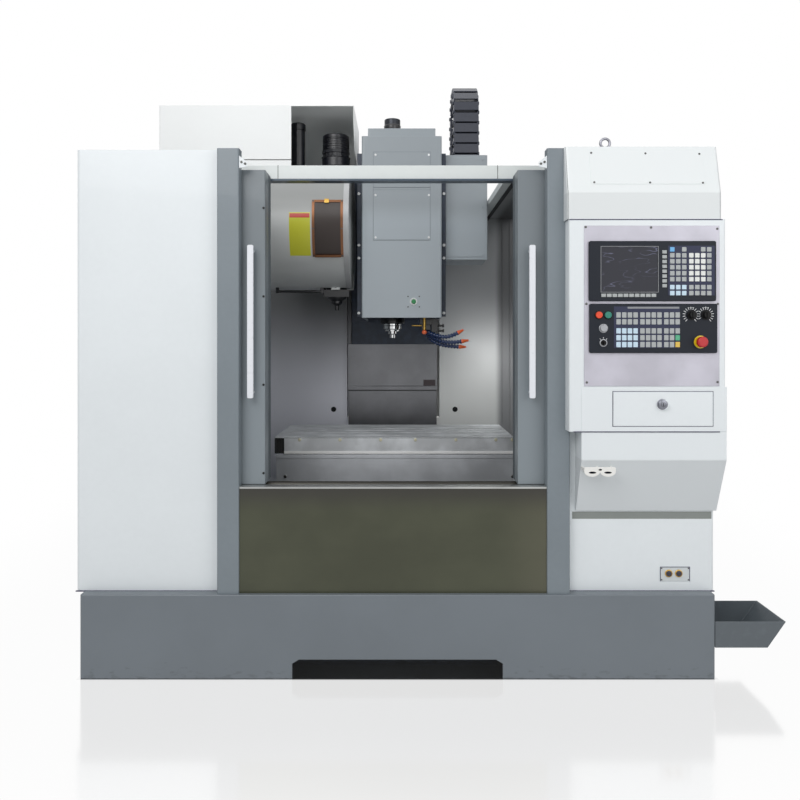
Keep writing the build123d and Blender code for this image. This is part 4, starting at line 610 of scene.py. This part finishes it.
# The head's cover: sheet steel in grey, with a stepped top, two screwed plates, narrow flanges with
# the screws that hold it to the casting, and the tool release button in a white ring.
head_paint = painted("head_paint", (176, 185, 191), 0.4)
# Painted shadow: the head's grey darkens towards its top, a shadow of the top frame's beam.
head_paint.toned(head_paint.axis("Z"), 1.74, 1.86, 1.03, 0.7)
dressed("head_cover", head_paint, "head", bevel=0.0015)
plates = slabs((-114, 778, 1682, 148, 780, 1912), (-114, 778, 1925, 148, 780, 2087))
finished("head_screwed_plates", plates, head_paint, "head", bevel=0.0008)
flanges = slabs((-193, 858, 1330, -168, 861, 2100), (202, 858, 1330, 225, 861, 2100))
finished("head_flanges", flanges, casting_paint, "head", bevel=0.0008)
seams = slabs(
    *((-115.4, 779.4, z, 149.4, 780.2, z + 2) for z in (1680, 1912, 1923, 2087)),
    *((x, 779.4, 1680, x + 1.4, 780.2, 2089) for x in (-115.4, 148)),
)
finished("head_seams", seams, painted("head_seam_paint", (120, 127, 133), 0.5), "head")
plate_screws = [(x, 778, z) for z in (2074, 1888, 1693) for x in (-104, 142)]
flange_screws = [(x, 858, z) for z in (1910, 1667, 1606, 1347) for x in (-185, 216)]
nickel = ground_steel("nickel", (253, 253, 253), 0.3, "Z", metallic=0.1)
screw_heads("head_screws", plate_screws, nickel, "head", 5)
screw_heads("head_flange_screws", flange_screws, nickel, "head", 7, rise=6)
ring_white = painted("button_ring", (232, 234, 234), 0.3, wander=0.01)
release_ring = bmesh.new()
outline = ((0, 17.5), (2.2, 17.5), (3, 16.6), (3, 11.5), (2.4, 10.6), (0, 10.6))
turned(release_ring, (72, 780, 1397), outline, "-Y", 40)
ring_screws = [(72 + x, 780, 1397 + z) for x in (-26, 26) for z in (-24, 24)]
screw_heads("release_screws", ring_screws, screw_steel, "head", 3.2, rise=1.6)
ring_piece = finished("release_ring", release_ring, ring_white, "head", smooth=40)
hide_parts("head_plates")


def moulded(name, card, roughness=0.34, coat=0.3, specular=0.5):
    """Moulded plastic: an even colour under a faint sheen, with a few soft wear marks."""
    finish = Finish(name, linear(*card), roughness, coat=coat, specular=specular)
    marks = finish.noise(120, 4)
    finish.toned(marks, 0.3, 0.7, 0.96, 1.03)
    finish.set("Roughness", roughness + (marks - 0.5) * 0.2)
    finish.bump(finish.noise(900, 2), 0.00006, 0.5)
    return finish


button_green = moulded("green_button", (26, 140, 76), 0.3)
dressed("release_button", button_green, "release_button", bevel=0.001, smooth=50)

# The spindle's cartridge in the head, and over it on top of the head the drawbar cylinder's black
# cap, turned in steps, with a hexagon plug.
SPINDLE = (-28, 960)
cap_black = moulded("cap_black", (24, 24, 27))
cartridge = ground_steel("cartridge_steel", (60, 62, 66), 0.34, "Z")
dressed("spindle_unit", cartridge, "head", bevel=0.001, smooth=40)
cap = bmesh.new()
outline = ((-12, 39.2), (0, 41), (6, 41), (12, 37), (14, 38), (24, 32), (26, 33), (34, 27), (36, 25), (36, 0))
turned(cap, (*SPINDLE, 2250), outline, "Z", 40)
turned(cap, (*SPINDLE, 2286), ((0, 8), (1, 8), (1, 0)), "Z", 6)
finished("cylinder_cap", cap, cap_black, "head", smooth=40)

# The wiring box on the head's right side: a welded box in the head's grey, its lid held on by three
# screws down each edge.
dressed("side_box", head_paint, "head", bevel=0.0015)
lid = slabs((214, 877.6, 1614, 412, 880, 2086))
finished("wiring_box_lid", lid, head_paint, "head", bevel=0.001)
lid_screws = [(x, 877.6, z) for x in (224, 402) for z in (1624, 1850, 2076)]
screw_heads("wiring_box_screws", lid_screws, head_paint, "head", 4)

# The cable chain: hinged box links of black nylon, from the wiring box up over their bend and down
# to a steel bracket on the column.
chain_nylon = moulded("chain_nylon", (58, 62, 74), 0.42, 0.1)
bar_nylon = moulded("chain_covers", (44, 48, 60), 0.36, 0.2)
bend_y, bend_z, bend_radius, link_pitch = 1080, 2316, 125, 50


def chain_link(shape, covers, y, z, turn):
    """One link: two side plates with a pin each, and the cross bars that close it."""
    swing = Matrix.Translation(spot(328, y, z)) @ Matrix.Rotation(-radians(turn), 4, "X")
    for side in (-1, 1):
        for inset, low, high in ((4, -29, 6), (8, -6, 29)):
            size = Matrix.Diagonal((0.004, 0.056, (high - low) / 1000, 1))
            place = Matrix.Translation((side * (0.062 - inset / 1000), 0, (high + low) / 2000))
            bmesh.ops.create_cube(shape, size=1, matrix=swing @ place @ size)
        pin = Matrix.Translation((side * 0.0615, 0, -0.018)) @ Matrix.Rotation(pi / 2, 4, "Y")
        bmesh.ops.create_cone(
            shape, cap_ends=True, segments=12, radius1=0.009, radius2=0.009, depth=0.007, matrix=swing @ pin
        )
    for depth, tall in ((-0.027, 0.043), (0.0255, 0.034)):
        place = Matrix.Translation((0, depth, 0.001))
        bmesh.ops.create_cube(covers, size=1, matrix=swing @ place @ Matrix.Diagonal((0.118, 0.006, tall, 1)))


def chain_part(name, links, feet, start, end):
    """A stretch of the chain between the column's bracket and the head."""
    shape, covers = bmesh.new(), bmesh.new()
    for link in links:
        chain_link(shape, covers, *link)
    for y, z in feet:
        slab(shape, (261, y - 30, z), (395, y + 30, z + 6))
        slab(shape, (268, y - 20, z + 6), (388, y + 20, z + 18))
    for suffix, half, finish in (("bars", covers, bar_nylon), ("links", shape, chain_nylon)):
        bmesh.ops.bevel(
            half, geom=half.edges, offset=0.001, segments=1, affect="EDGES", profile=0.5, material=-1,
            clamp_overlap=True,
        )
        piece = finished(f"{name}_{suffix}", half, finish, None)
        spot(*start)
        spot(*end)
        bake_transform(piece)
    return piece


front_links = [(bend_y - bend_radius, bend_z - (link + 0.5) * link_pitch, 0) for link in range(4)]
bend_links = [
    (bend_y - bend_radius * cos(radians(turn)), bend_z + bend_radius * sin(radians(turn)), turn)
    for turn in [(link + 0.5) * 22.5 for link in range(8)]
]
rear_links = [(bend_y + bend_radius, bend_z - (link + 0.5) * link_pitch, 180) for link in range(11)]
front_part = chain_part("chain_front", front_links, [(955, 2098)], (328, 955, 2534), (328, 955, 2098))
chain_part("chain_bend", bend_links, [], (328, 1080, bend_z - 50000), (328, 1080, bend_z + 50000))
chain_part("chain_rear", rear_links, [(1205, 1748)], (328, 1205, 1748), (328, 1205, 2884))
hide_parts("cable_chain")

# The telescopic way cover on the column: overlapping plates of brushed steel that slide over one
# another, with a rubber wiper along the foot of the upper one and a small dark tag above it.
cover_steel = ground_steel("way_cover_steel", (117, 118, 121), 0.34, "X")
for node, body in (
    ("z_cover_upper", "head"), ("z_cover_middle", "z_cover_middle"), ("z_cover_lower", "z_cover_lower")
):
    dressed(node, cover_steel, body, bevel=0.0006)
wiper_strip = slabs((-278, 1466.6, 940, 213, 1472, 946))
finished("way_cover_wiper", wiper_strip, rubber, "head", bevel=0.001)
tag_dark = painted("tag_dark", (44, 26, 32), 0.4, wander=0.02)
finished("way_cover_tag", slabs((138, 1471.2, 968, 204, 1472, 1001)), tag_dark, "head")

# The spindle's nose: a black screwed flange on the cartridge, and below it the ground and polished
# nose rings.
chrome = ground_steel("nose_chrome", (214, 215, 216), 0.14, "Z", grain=0.00001, metallic=1.0)
dressed("spindle", chrome, "spindle", bevel=0.0006, smooth=40)
nose_rings = bmesh.new()
outline = ((0, 36), (0, 42), (2, 43.5), (9, 43.5), (11, 41), (13, 44.2), (25, 44.2), (27, 40), (29, 36.5))
turned(nose_rings, (*SPINDLE, 1299), (*outline, (37, 35.5), (37, 30)), "-Z", 48)
finished("nose_rings", nose_rings, chrome, "spindle", smooth=30)
flange = bmesh.new()
turned(flange, (*SPINDLE, 1330), ((0, 56), (0, 59), (3, 60), (27, 60), (31, 56), (31.4, 37)), "-Z", 56)
finished("nose_flange", flange, cap_black, "head", smooth=30)
turns = [radians(turn) for turn in range(22, 382, 45)]
flange_bolts = [(SPINDLE[0] + 51 * cos(turn), SPINDLE[1] + 51 * sin(turn), 1298.6) for turn in turns]
screw_heads("nose_flange_screws", flange_bolts, black_screw, "head", 4, "-Z")

# The coolant group on the head: a black valve block, a brass spray pipe with an orange tap, and
# three jointed hoses of blue sockets, each ending in an orange nozzle.
blocks = slabs(
    (103, 866, 1292, 160, 942, 1362), (112, 858, 1268, 152, 872, 1292), (158, 868, 1258, 188, 936, 1322)
)
for z in (1288, 1264):
    turned(blocks, (188, 880, z), ((0, 5), (22, 5), (22, 8), (30, 8), (30, 0)), "X", 12)
for x in (118, 132, 146):
    turned(blocks, (x, 868, 1322), ((0, 9), (5, 9), (7, 7), (7, 0)), "-Y", 6)
    turned(blocks, (x, 868, 1292), ((0, 8), (12, 8), (14, 6), (24, 6), (24, 4)), "-Z", 6)
block_piece = finished("coolant_block", blocks, cap_black, "head", bevel=0.0012)
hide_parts("coolant_nozzles")
hoses, nozzles = bmesh.new(), bmesh.new()
hose_ends = (
    ((200, 872, 1240), (262, 862, 1230), (306, 856, 1254)),
    ((210, 890, 1222), (270, 880, 1204), (328, 872, 1214)),
    ((205, 914, 1205), (262, 905, 1190), (318, 898, 1188)),
)
for number, bends in enumerate(hose_ends):
    hose_y = 885 + number * 20
    points = [(132, hose_y, 1290), (134, hose_y, 1262 - number * 9), *((x - 24, y, z) for x, y, z in bends)]
    route = bpy.data.curves.new("hose_route", "CURVE")
    route.dimensions = "3D"
    line = route.splines.new("NURBS")
    line.points.add(len(points) - 1)
    for point, place in zip(line.points, points):
        point.co = (*place, 1)
    line.order_u = 3
    line.use_endpoint_u = True
    route.resolution_u = 24
    holder = bpy.data.objects.new("hose_route", route)
    path = bpy.data.meshes.new_from_object(holder)
    steps = [vert.co.copy() for vert in path.vertices]
    bpy.data.objects.remove(holder)
    bead, travelled = 14.0, 0.0
    for first, second in zip(steps, steps[1:]):
        stretch = (second - first).length
        while travelled < stretch:
            place = first.lerp(second, travelled / stretch)
            outline = ((-7, 6.5), (-5.5, 10.2), (1, 10.8), (2.5, 8), (4, 7), (7, 7))
            turned(hoses, place, outline, second - first, 14)
            travelled += bead
        travelled -= stretch
    outline = ((-4, 9), (0, 10), (6, 10), (9, 8), (30, 4.4), (30, 2.6), (10, 2.6))
    turned(nozzles, steps[-1], outline, steps[-1] - steps[-3], 18)
turned(nozzles, (124, 850, 1266), ((0, 4), (2, 9), (8, 12), (14, 11), (19, 6), (20, 0)), "-Z", 20)
hose_blue = moulded("hose_blue", (24, 52, 98))
finished("coolant_hoses", hoses, hose_blue, "head", smooth=40)
nozzle_orange = moulded("nozzle_orange", (255, 112, 60))
finished("coolant_nozzle_tips", nozzles, nozzle_orange, "head", smooth=40)
pipe = bmesh.new()
turned(pipe, (124, 850, 1292), ((-40, 7), (24, 7), (26, 5)), "-Z", 16)
turned(pipe, (110, 864, 1288), ((-4, 3.5), (44, 3.5), (46, 2)), "-X", 12)
finished("spray_pipe", pipe, brass, "head", smooth=40)

# The table: a ground iron casting with five T-slots, brass screws along its front edge, a bright
# wiper strip under it and rubber at its end.
table_iron = ground_steel("table_iron", (208, 211, 214), 0.42, "X", grain=0.00006, metallic=0.4)
table_iron.toned(table_iron.noise(9, 6), 0.35, 0.7, 0.78, 1.1)
dressed("table", table_iron, "table")
pale_brass = ground_steel("pale_brass", (206, 201, 176), 0.34, "Z", metallic=0.3)
edge_screws = [(x, 574, 786) for x in (-428, -252, -75, 76, 252, 426, 497)]
screw_heads("table_edge_screws", edge_screws, pale_brass, "table", 7)
top_line = slabs((-495, 573.3, 793.6, 505, 574, 795.4))
finished("table_top_line", top_line, dark, "table")
strip = slabs((-495, 572.6, 725, 505, 574, 737))
strip_bright = ground_steel("edge_strip", (255, 255, 252), 0.3, "X", metallic=0.0)
finished("table_edge_strips", strip, strip_bright, "table", bevel=0.0008)
dressed("table_wiper", rubber, "table", bevel=0.001)
wiper_cap = slabs((-537, 574, 793, -495, 1074, 796.5))
finished("table_wiper_cap", wiper_cap, table_iron, "table", bevel=0.001)
guard_steel = ground_steel("guard_steel", (206, 209, 214), 0.36, "X", metallic=0.45)
dressed("saddle_guard", guard_steel, "saddle", bevel=0.0008)
guard_bolts = [(x, 575, 627) for x in (-490, 498)]
screw_heads("guard_bolts", guard_bolts, screw_steel, "saddle", 7, rise=4)

# The folded way covers before and behind the saddle: rubber-coated cloth in bellows, clamped to
# the bed at one end and to the saddle at the other.
bellows = plain("bellows_rubber", linear(36, 37, 40), 0.55, 0.25, 30, 4)
bellows.bump(bellows.noise(700, 2), 0.0002, 0.5)
for name, ahead, start, end in (("front_bellows", True, 362, 594), ("rear_bellows", False, 1458, 1054)):
    folds = part_of("y_bellows", lambda x, y, z, ahead=ahead: (y < 824) == ahead)
    cloth = finished(name, folds, bellows, None, smooth=20)
    spot(-28, start, 540)
    spot(-28, end, 540)
    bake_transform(cloth)
    if ahead:
        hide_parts("y_bellows")

# The control cabinet at the right front: a folded box in the covers' off-white under a sloped cap
# with a screwed plate and a lifting eye. Dark seams mark the gaps round the cabinet and the drawer.
dressed("control_cabinet", cover_paint, bevel=0)
cap_paint = painted("cap_paint", (239, 243, 243), 0.38, wander=0.02)
# Painted shade: the cap's front is darker below its crease, on the upright band under the sloped face.
cap_paint.toned(cap_paint.axis("Z"), 1.738, 1.746, 0.88, 1.0)
dressed("cabinet_hood", cap_paint, bevel=0.001)
seam_dark = plain("seam_shadow", linear(48, 46, 78), 0.4, 0.3, 60)


def flats(front_y, back_y, *areas):
    """Rows for slabs between two depths, each from its low x and z to its high x and z."""
    return [(x0, front_y, z0, x1, back_y, z1) for x0, z0, x1, z1 in areas]


drawer_gap = ((760, 914, 1116, 916), (760, 1037, 1116, 1039), (760, 914, 762, 1039), (1114, 914, 1116.4, 1039))
seams = slabs(
    (609, -48.8, 1644.2, 1150, 40, 1647.6), (624, -50.6, 893.6, 1140, -40, 896.6),
    *flats(-51.2, -50, *drawer_gap), (-1178, 45, 299, 1160, 51, 302.4),
)
finished("cabinet_seams", seams, seam_dark)
LEAN_BACK, LEAN_UP = 43, 173
tilt = atan2(LEAN_BACK, LEAN_UP)


def on_slope(x, z, lift):
    """A place on the cap's sloped front, lifted off it, in machine millimetres."""
    return (x, -48 + LEAN_BACK * (z - 1742) / LEAN_UP - lift * cos(tilt), z + lift * sin(tilt))


plate = bmesh.new()
lean = Matrix.Rotation(-tilt, 4, "X") @ Matrix.Diagonal((0.406, 0.0016, 0.126, 1))
bmesh.ops.create_cube(plate, size=1, matrix=Matrix.Translation(spot(*on_slope(889.5, 1834, 0.9))) @ lean)
finished("cap_plate", plate, cap_paint, bevel=0.0005)
plate_places = ((694, 1890), (888, 1888), (1081, 1886), (698, 1779), (896, 1778), (1083, 1777))
plate_places = [on_slope(x, z, 1.7) for x, z in plate_places]
slope_out = (0, -cos(tilt), sin(tilt))
screw_heads("cap_plate_screws", plate_places, screw_steel, "machine", 3.6, slope_out, 1.8)
eye = bmesh.new()
turned(eye, (758, 40, 1915), ((-1, 15), (4, 15), (5, 13.5), (5, 7), (10, 6), (10, 0)), "Z", 24)
ring = [
    (758 + (17 + 5 * cos(tube)) * cos(turn), 40 + 5 * sin(tube), 1938 + (17 + 5 * cos(tube)) * sin(turn))
    for turn in [i * pi / 12 for i in range(24)]
    for tube in [j * pi / 4 for j in range(8)]
]
ring = [eye.verts.new(spot(*place)) for place in ring]
for i in range(24):
    for j in range(8):
        after, around = (i + 1) % 24, (j + 1) % 8
        eye.faces.new((ring[i * 8 + j], ring[after * 8 + j], ring[after * 8 + around], ring[i * 8 + around]))
eye_steel = ground_steel("eye_steel", (150, 150, 158), 0.3, "Z")
finished("lifting_eye", eye, eye_steel, smooth=60)

# The slope under the cabinet, with its raised front panel, the white hook for the hand wheel and
# the drawer with its lock.
slope_paint = painted("slope_paint", (235, 240, 242), 0.38, wander=0.02)
# Painted shade: the slope is darker below about 0.8 m, where its face turns down.
slope_paint.toned(slope_paint.axis("Z"), 0.799, 0.793, 1.0, 0.87)
dressed("slope_skirt", slope_paint, bevel=0.001)
# A painted shadow: a grey strip on the cover under the slope's foot, where the slope's shadow falls.
painted_shadow_grey = painted("painted_shadow_grey", (134, 139, 135), 0.5)
finished("slope_painted_shadow", slabs((640, 49.2, 565, 1150, 50, 591)), painted_shadow_grey)
outline = [(652, 772), (656, 776), (759, 776), (763, 772)]
outline += [(763 - step * 4.625, 757 - 15 * abs(sin(step * pi / 12)) ** 0.6) for step in range(25)]
hook = bmesh.new()
pressed(hook, outline, -84, 4)
for x in (655, 707, 757):
    slab(hook, (x - 3, -80.5, 760), (x + 3, -26, 772))
hook_white = painted("hook_white", (244, 243, 238), 0.34, wander=0.01)
hook_piece = finished("handwheel_hook_plate", hook, hook_white, bevel=0.0008)
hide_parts("handwheel_hook")
hook_holes = bmesh.new()
for x, z, half_x, half_z in ((708, 767, 6, 3), (681, 757, 13, 3.6), (735, 757, 13, 3.6)):
    turns = [i * pi / 12 for i in range(24)]
    places = [spot(x + half_x * cos(turn), -84.3, z + half_z * sin(turn)) for turn in turns]
    rim = [hook_holes.verts.new(place) for place in places]
    hook_holes.faces.new(rim)
bmesh.ops.solidify(hook_holes, geom=hook_holes.faces[:], thickness=-0.0004)
finished("hook_hole", hook_holes, seam_dark)
dressed("drawer", cover_paint, "drawer", bevel=0.0008)
lock = bmesh.new()
outline = ((0, 19), (3, 19), (4, 17.5), (4, 16.3), (12.6, 16.3), (14, 14.6), (14, 0))
turned(lock, (935, -53.2, 993), outline, "-Y", 32)
lock_steel = ground_steel("lock_steel", (134, 136, 144), 0.32, "Z")
finished("drawer_lock", lock, lock_steel, "drawer", smooth=40)
lock_slot = slabs((933.6, -68, 987, 936.4, -67.1, 999))
turned(lock_slot, (935, -67.1, 993), ((0, 8.6), (0.3, 8.6), (0.3, 7.6), (0, 7.6)), "-Y", 24)
finished("drawer_lock_slot", lock_slot, black_screw, "drawer")

# The operator's plate: stainless sheet brushed along its length, on screws, with the two black
# units of the control let into it and a grey frame round the dark screen.
plate_steel = ground_steel("plate_stainless", (186, 184, 194), 0.4, "X", metallic=0.35)
dressed("operator_plate", plate_steel, bevel=0.0006)
corners = ((665, 1619), (896, 1617.5), (1130, 1613), (667.6, 1347.6), (1132, 1347.6), (669, 1070), (1131, 1071.6))
corners = [(x, -51, z) for x, z in corners]
screw_heads("operator_plate_screws", corners, screw_steel, radius=4.2, rise=2)
unit_plastic = moulded("unit_plastic", (26, 31, 40), 0.46, 0.0, 0.25)
for node in ("display_unit", "operator_unit"):
    dressed(node, unit_plastic, bevel=0.0008)
PANEL_Y = -61
fields = slabs(*flats(PANEL_Y - 0.5, PANEL_Y, (762, 1192, 994, 1338), (953, 1377, 1117, 1552)))
field_blue = moulded("key_field", (54, 57, 78), 0.46, 0.0, 0.25)
finished("key_fields", fields, field_blue, bevel=0.0003)
screen_bars = (
    (715.4, 1387.4, 717.4, 1550.6), (917.6, 1387.4, 919.6, 1550.6),
    (717.4, 1387.4, 917.6, 1389.4), (717.4, 1548.6, 917.6, 1550.6),
)
strips = slabs((810, -61.9, 1330.4, 992, -61.4, 1337), *flats(-61.8, -60.9, *screen_bars))
finished("unit_strips", strips, moulded("grey_strip", (128, 130, 134), 0.36), bevel=0.0002)
screen = slabs((717.6, -59.4, 1389.6, 917.4, -58, 1548.4))
screen_glass = Finish("screen_glass", linear(43, 44, 54), 0.1, specular=0.22)
# Painted reflections: light streaks along the creases of a film over the screen.
folds = screen_glass.noise(11, 1.5, screen_glass.stretched(1, 1, 4))
faded = screen_glass.clear(screen_glass.noise(16, 2), 0.42, 0.75)
painted_reflection_streaks = screen_glass.clear(abs(folds - 0.5), 0.022, 0.0) * faded
screen_glass.set("Base Color", screen_glass.shades(painted_reflection_streaks, 0.9, 7))
screen_glass.set("Roughness", 0.08 + screen_glass.noise(40, 4) * 0.1)
finished("screen", screen, screen_glass, bevel=0.0003)

# The keys, moulded in their colours as the photograph groups them, and the yellow ring round the
# emergency stop. The ten keys under the screen stand in one row of their own.


def key_group(x, z):
    """Which colour a key has, by its place."""
    if z > 1528 and 955 < x < 975:
        return "sky"
    if z < 1230 and x > 970:
        return "green" if z > 1210 else "gold"
    if 1350 < z < 1390 and x < 925:
        return "under the screen"
    if 1370 < z < 1415 and 955 < x < 1020 or z < 1275 and 770 < x < 850:
        return "ice"
    if 1425 < z < 1530 and 1025 < x < 1090:
        return "white"
    return "grey"


for group, card in (
    ("sky", (96, 170, 224)),
    ("green", (64, 166, 122)),
    ("gold", (224, 184, 62)),
    ("ice", (196, 220, 236)),
    ("white", (228, 230, 226)),
    ("grey", (164, 168, 168)),
):
    finish = moulded(f"key_{group}", card, 0.36 if group == "grey" else 0.34)
    keys = part_of("panel_keys", lambda x, y, z: not (z < 1340 and x > 1045) and key_group(x, z) == group)
    piece = finished(f"keys_{group}", keys, finish, bevel=0.0008)
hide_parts("panel_keys")
row = slabs(*((717 + step * 19.6, -65, 1371, 733.6 + step * 19.6, PANEL_Y, 1383) for step in range(10)))
finished("keys_under_screen", row, finish, bevel=0.0008)
stop_yellow = moulded("stop_yellow", (238, 206, 38))
stop_ring = part_of("panel_keys", lambda x, y, z: x > 1045 and z < 1240)
finished("stop_ring", stop_ring, stop_yellow, smooth=40)

# The controls: push buttons in black bezels, the key switch in its bright collar, two black knobs
# among white marks, and the red mushroom of the emergency stop.
silver = ground_steel("button_silver", (150, 152, 156), 0.38, "X", metallic=0.6)
knob_black = moulded("knob_black", (9, 9, 11), 0.5, 0.0, 0.25)
for node, finish in (
    ("orange_button", moulded("button_orange", (230, 68, 22), 0.36, 0.1)),
    ("green_button", moulded("button_teal", (18, 122, 104), 0.36, 0.1)),
    ("silver_button", silver),
    ("emergency_stop", moulded("stop_red", (188, 22, 30), 0.36, 0.1)),
    ("feed_knob", knob_black),
    ("speed_knob", knob_black),
    ("key_switch", knob_black),
):
    dressed(node, finish, node, bevel=0.0006, smooth=50)
for name, finish, slot, brim, side, top, places in (
    ("button_bezels", knob_black, "black_plastic", 3, 1.6, 2.4, ((709, 1308, 12.4), (741, 1308, 12.4))),
    ("bright_collars", silver, "bright_steel", 3.4, 1.8, 2.8, ((725, 1261, 12.4), (725, 1210, 10.2))),
):
    rims = bmesh.new()
    for x, z, inner in places:
        outline = ((0, inner + brim), (side, inner + brim), (top, inner + 2), (top, inner), (0, inner))
        turned(rims, (x, PANEL_Y, z), outline, "-Y", 36)
    finished(name, rims, finish, smooth=40)
marks = bmesh.new()
for x, z, near, far, turns in (
    (1033, 1308, 19.5, 29, range(-140, 141, 20)),
    (1085, 1308, 19.5, 29, range(-120, 141, 20)),
    (725, 1210, 15.5, 19.5, (-40, 0, 40)),
):
    for turn in turns:
        swing = Matrix.Translation(spot(x, -61.2, z)) @ Matrix.Rotation(radians(turn), 4, "Y")
        place = Matrix.Translation((0, 0, (near + far) / 2000))
        size = Matrix.Diagonal((0.0018, 0.0005, (far - near) / 1000, 1))
        bmesh.ops.create_cube(marks, size=1, matrix=swing @ place @ size)
for x in (1036, 1086):
    size = Matrix.Diagonal((0.016, 0.0005, 0.0009, 1))
    bmesh.ops.create_cube(marks, size=1, matrix=Matrix.Translation(spot(x, -61.2, 1334.5)) @ size)
finished("dial_marks", marks, ring_white)

# The service plate low on the right cover: a pale plate with a dark rim on four screws, and two
# couplings with blue caps in brass rims.
service = slabs((961.6, 47.6, 336.7, 1070.4, 50, 389.8))
service_white = painted("service_plate", (212, 217, 218), 0.4, wander=0.02)
finished("service_plate", service, service_white, bevel=0.0006)
rim_bars = ((961.6, 387.6, 1070.4, 389.8), (961.6, 336.7, 963.8, 387.6), (1068.2, 336.7, 1070.4, 387.6))
finished("service_plate_rim", slabs(*flats(46.8, 47.7, *rim_bars)), seam_dark)
couplings, caps = bmesh.new(), bmesh.new()
for x in (992.7, 1029.4):
    outline = ((0, 13.6), (2.4, 13.6), (3.4, 12.4), (3.4, 10.8), (0, 10.8))
    turned(couplings, (x, 47.6, 365.3), outline, "-Y", 30)
    turned(caps, (x, 47.6, 365.3), ((0, 10.6), (4.6, 10.6), (5.6, 9.4), (5.6, 0)), "-Y", 30)
finished("coupling_rims", couplings, brass, smooth=40)
cap_blue = moulded("coupling_caps", (22, 18, 44), 0.3)
finished("coupling_caps", caps, cap_blue, smooth=40)
service_screws = [(x, 47.6, z) for x in (967, 1065) for z in (342, 384)]
screw_heads("service_screws", service_screws, screw_steel, radius=2.6, rise=1.4)

# The chip chute at the base's right: folded sheet in a darker coat of the base's grey, with faint
# scrapes where the chips slide down it.
chute_paint = painted("chute_paint", (92, 99, 104), 0.42)
scrape = chute_paint.noise(40, 5, chute_paint.stretched(1, 3, 1))
chute_paint.toned(scrape, 0.5, 0.75, 0.97, 1.1)
dressed("chip_chute", chute_paint)

# The power cabinet behind: a steel cupboard with its door on two zinc-plated hinges and a black
# lever. Inside, grey drives and rows of 18 mm breakers sit on a galvanised mounting plate.
cupboard = painted("cupboard_paint", (235, 240, 242), 0.38, wander=0.02)
across, deep, up = (cupboard.axis(name) for name in "XYZ")
fitted = (abs(across - 0.669) < 0.3) * (abs(up - 0.995) < 0.86) * (deep > 0.6735) * (deep < 0.84)
sheet_colour = cupboard.clouded(0.02)
spangle = cupboard.clear(cupboard.noise(60, 1), 0.35, 0.65)
plate_colour = cupboard.blend(spangle, linear(150, 154, 156), linear(172, 175, 176))
drive_colour = cupboard.blend(up > 1.39, linear(44, 46, 50), linear(128, 133, 137))
split = across.sum("FRACT", across / 0.018) < 0.1
breaker_colour = cupboard.blend(split, linear(70, 74, 80), linear(20, 20, 22))
module_colour = cupboard.blend(up < 1.25, drive_colour, breaker_colour)
inner_colour = cupboard.blend(deep > 0.6795, plate_colour, module_colour)
cupboard.set("Base Color", cupboard.blend(fitted, sheet_colour, inner_colour))
dressed("power_cabinet", cupboard, bevel=0.001)
door_white = painted("cupboard_door_paint", (235, 240, 242), 0.38, wander=0.02)
hinge = door_white.axis("X") > 1.0196
lever = (door_white.axis("Y") > 1.1405) * (1 - hinge)
sheet_colour = door_white.clouded(0.02)
zinc_colour = door_white.blend(hinge, sheet_colour, linear(168, 168, 164))
door_white.set("Base Color", door_white.blend(lever, zinc_colour, linear(24, 25, 28)))
door_white.set("Metallic", hinge * 0.8)
dressed("power_door", door_white, "power_door", bevel=0.001)
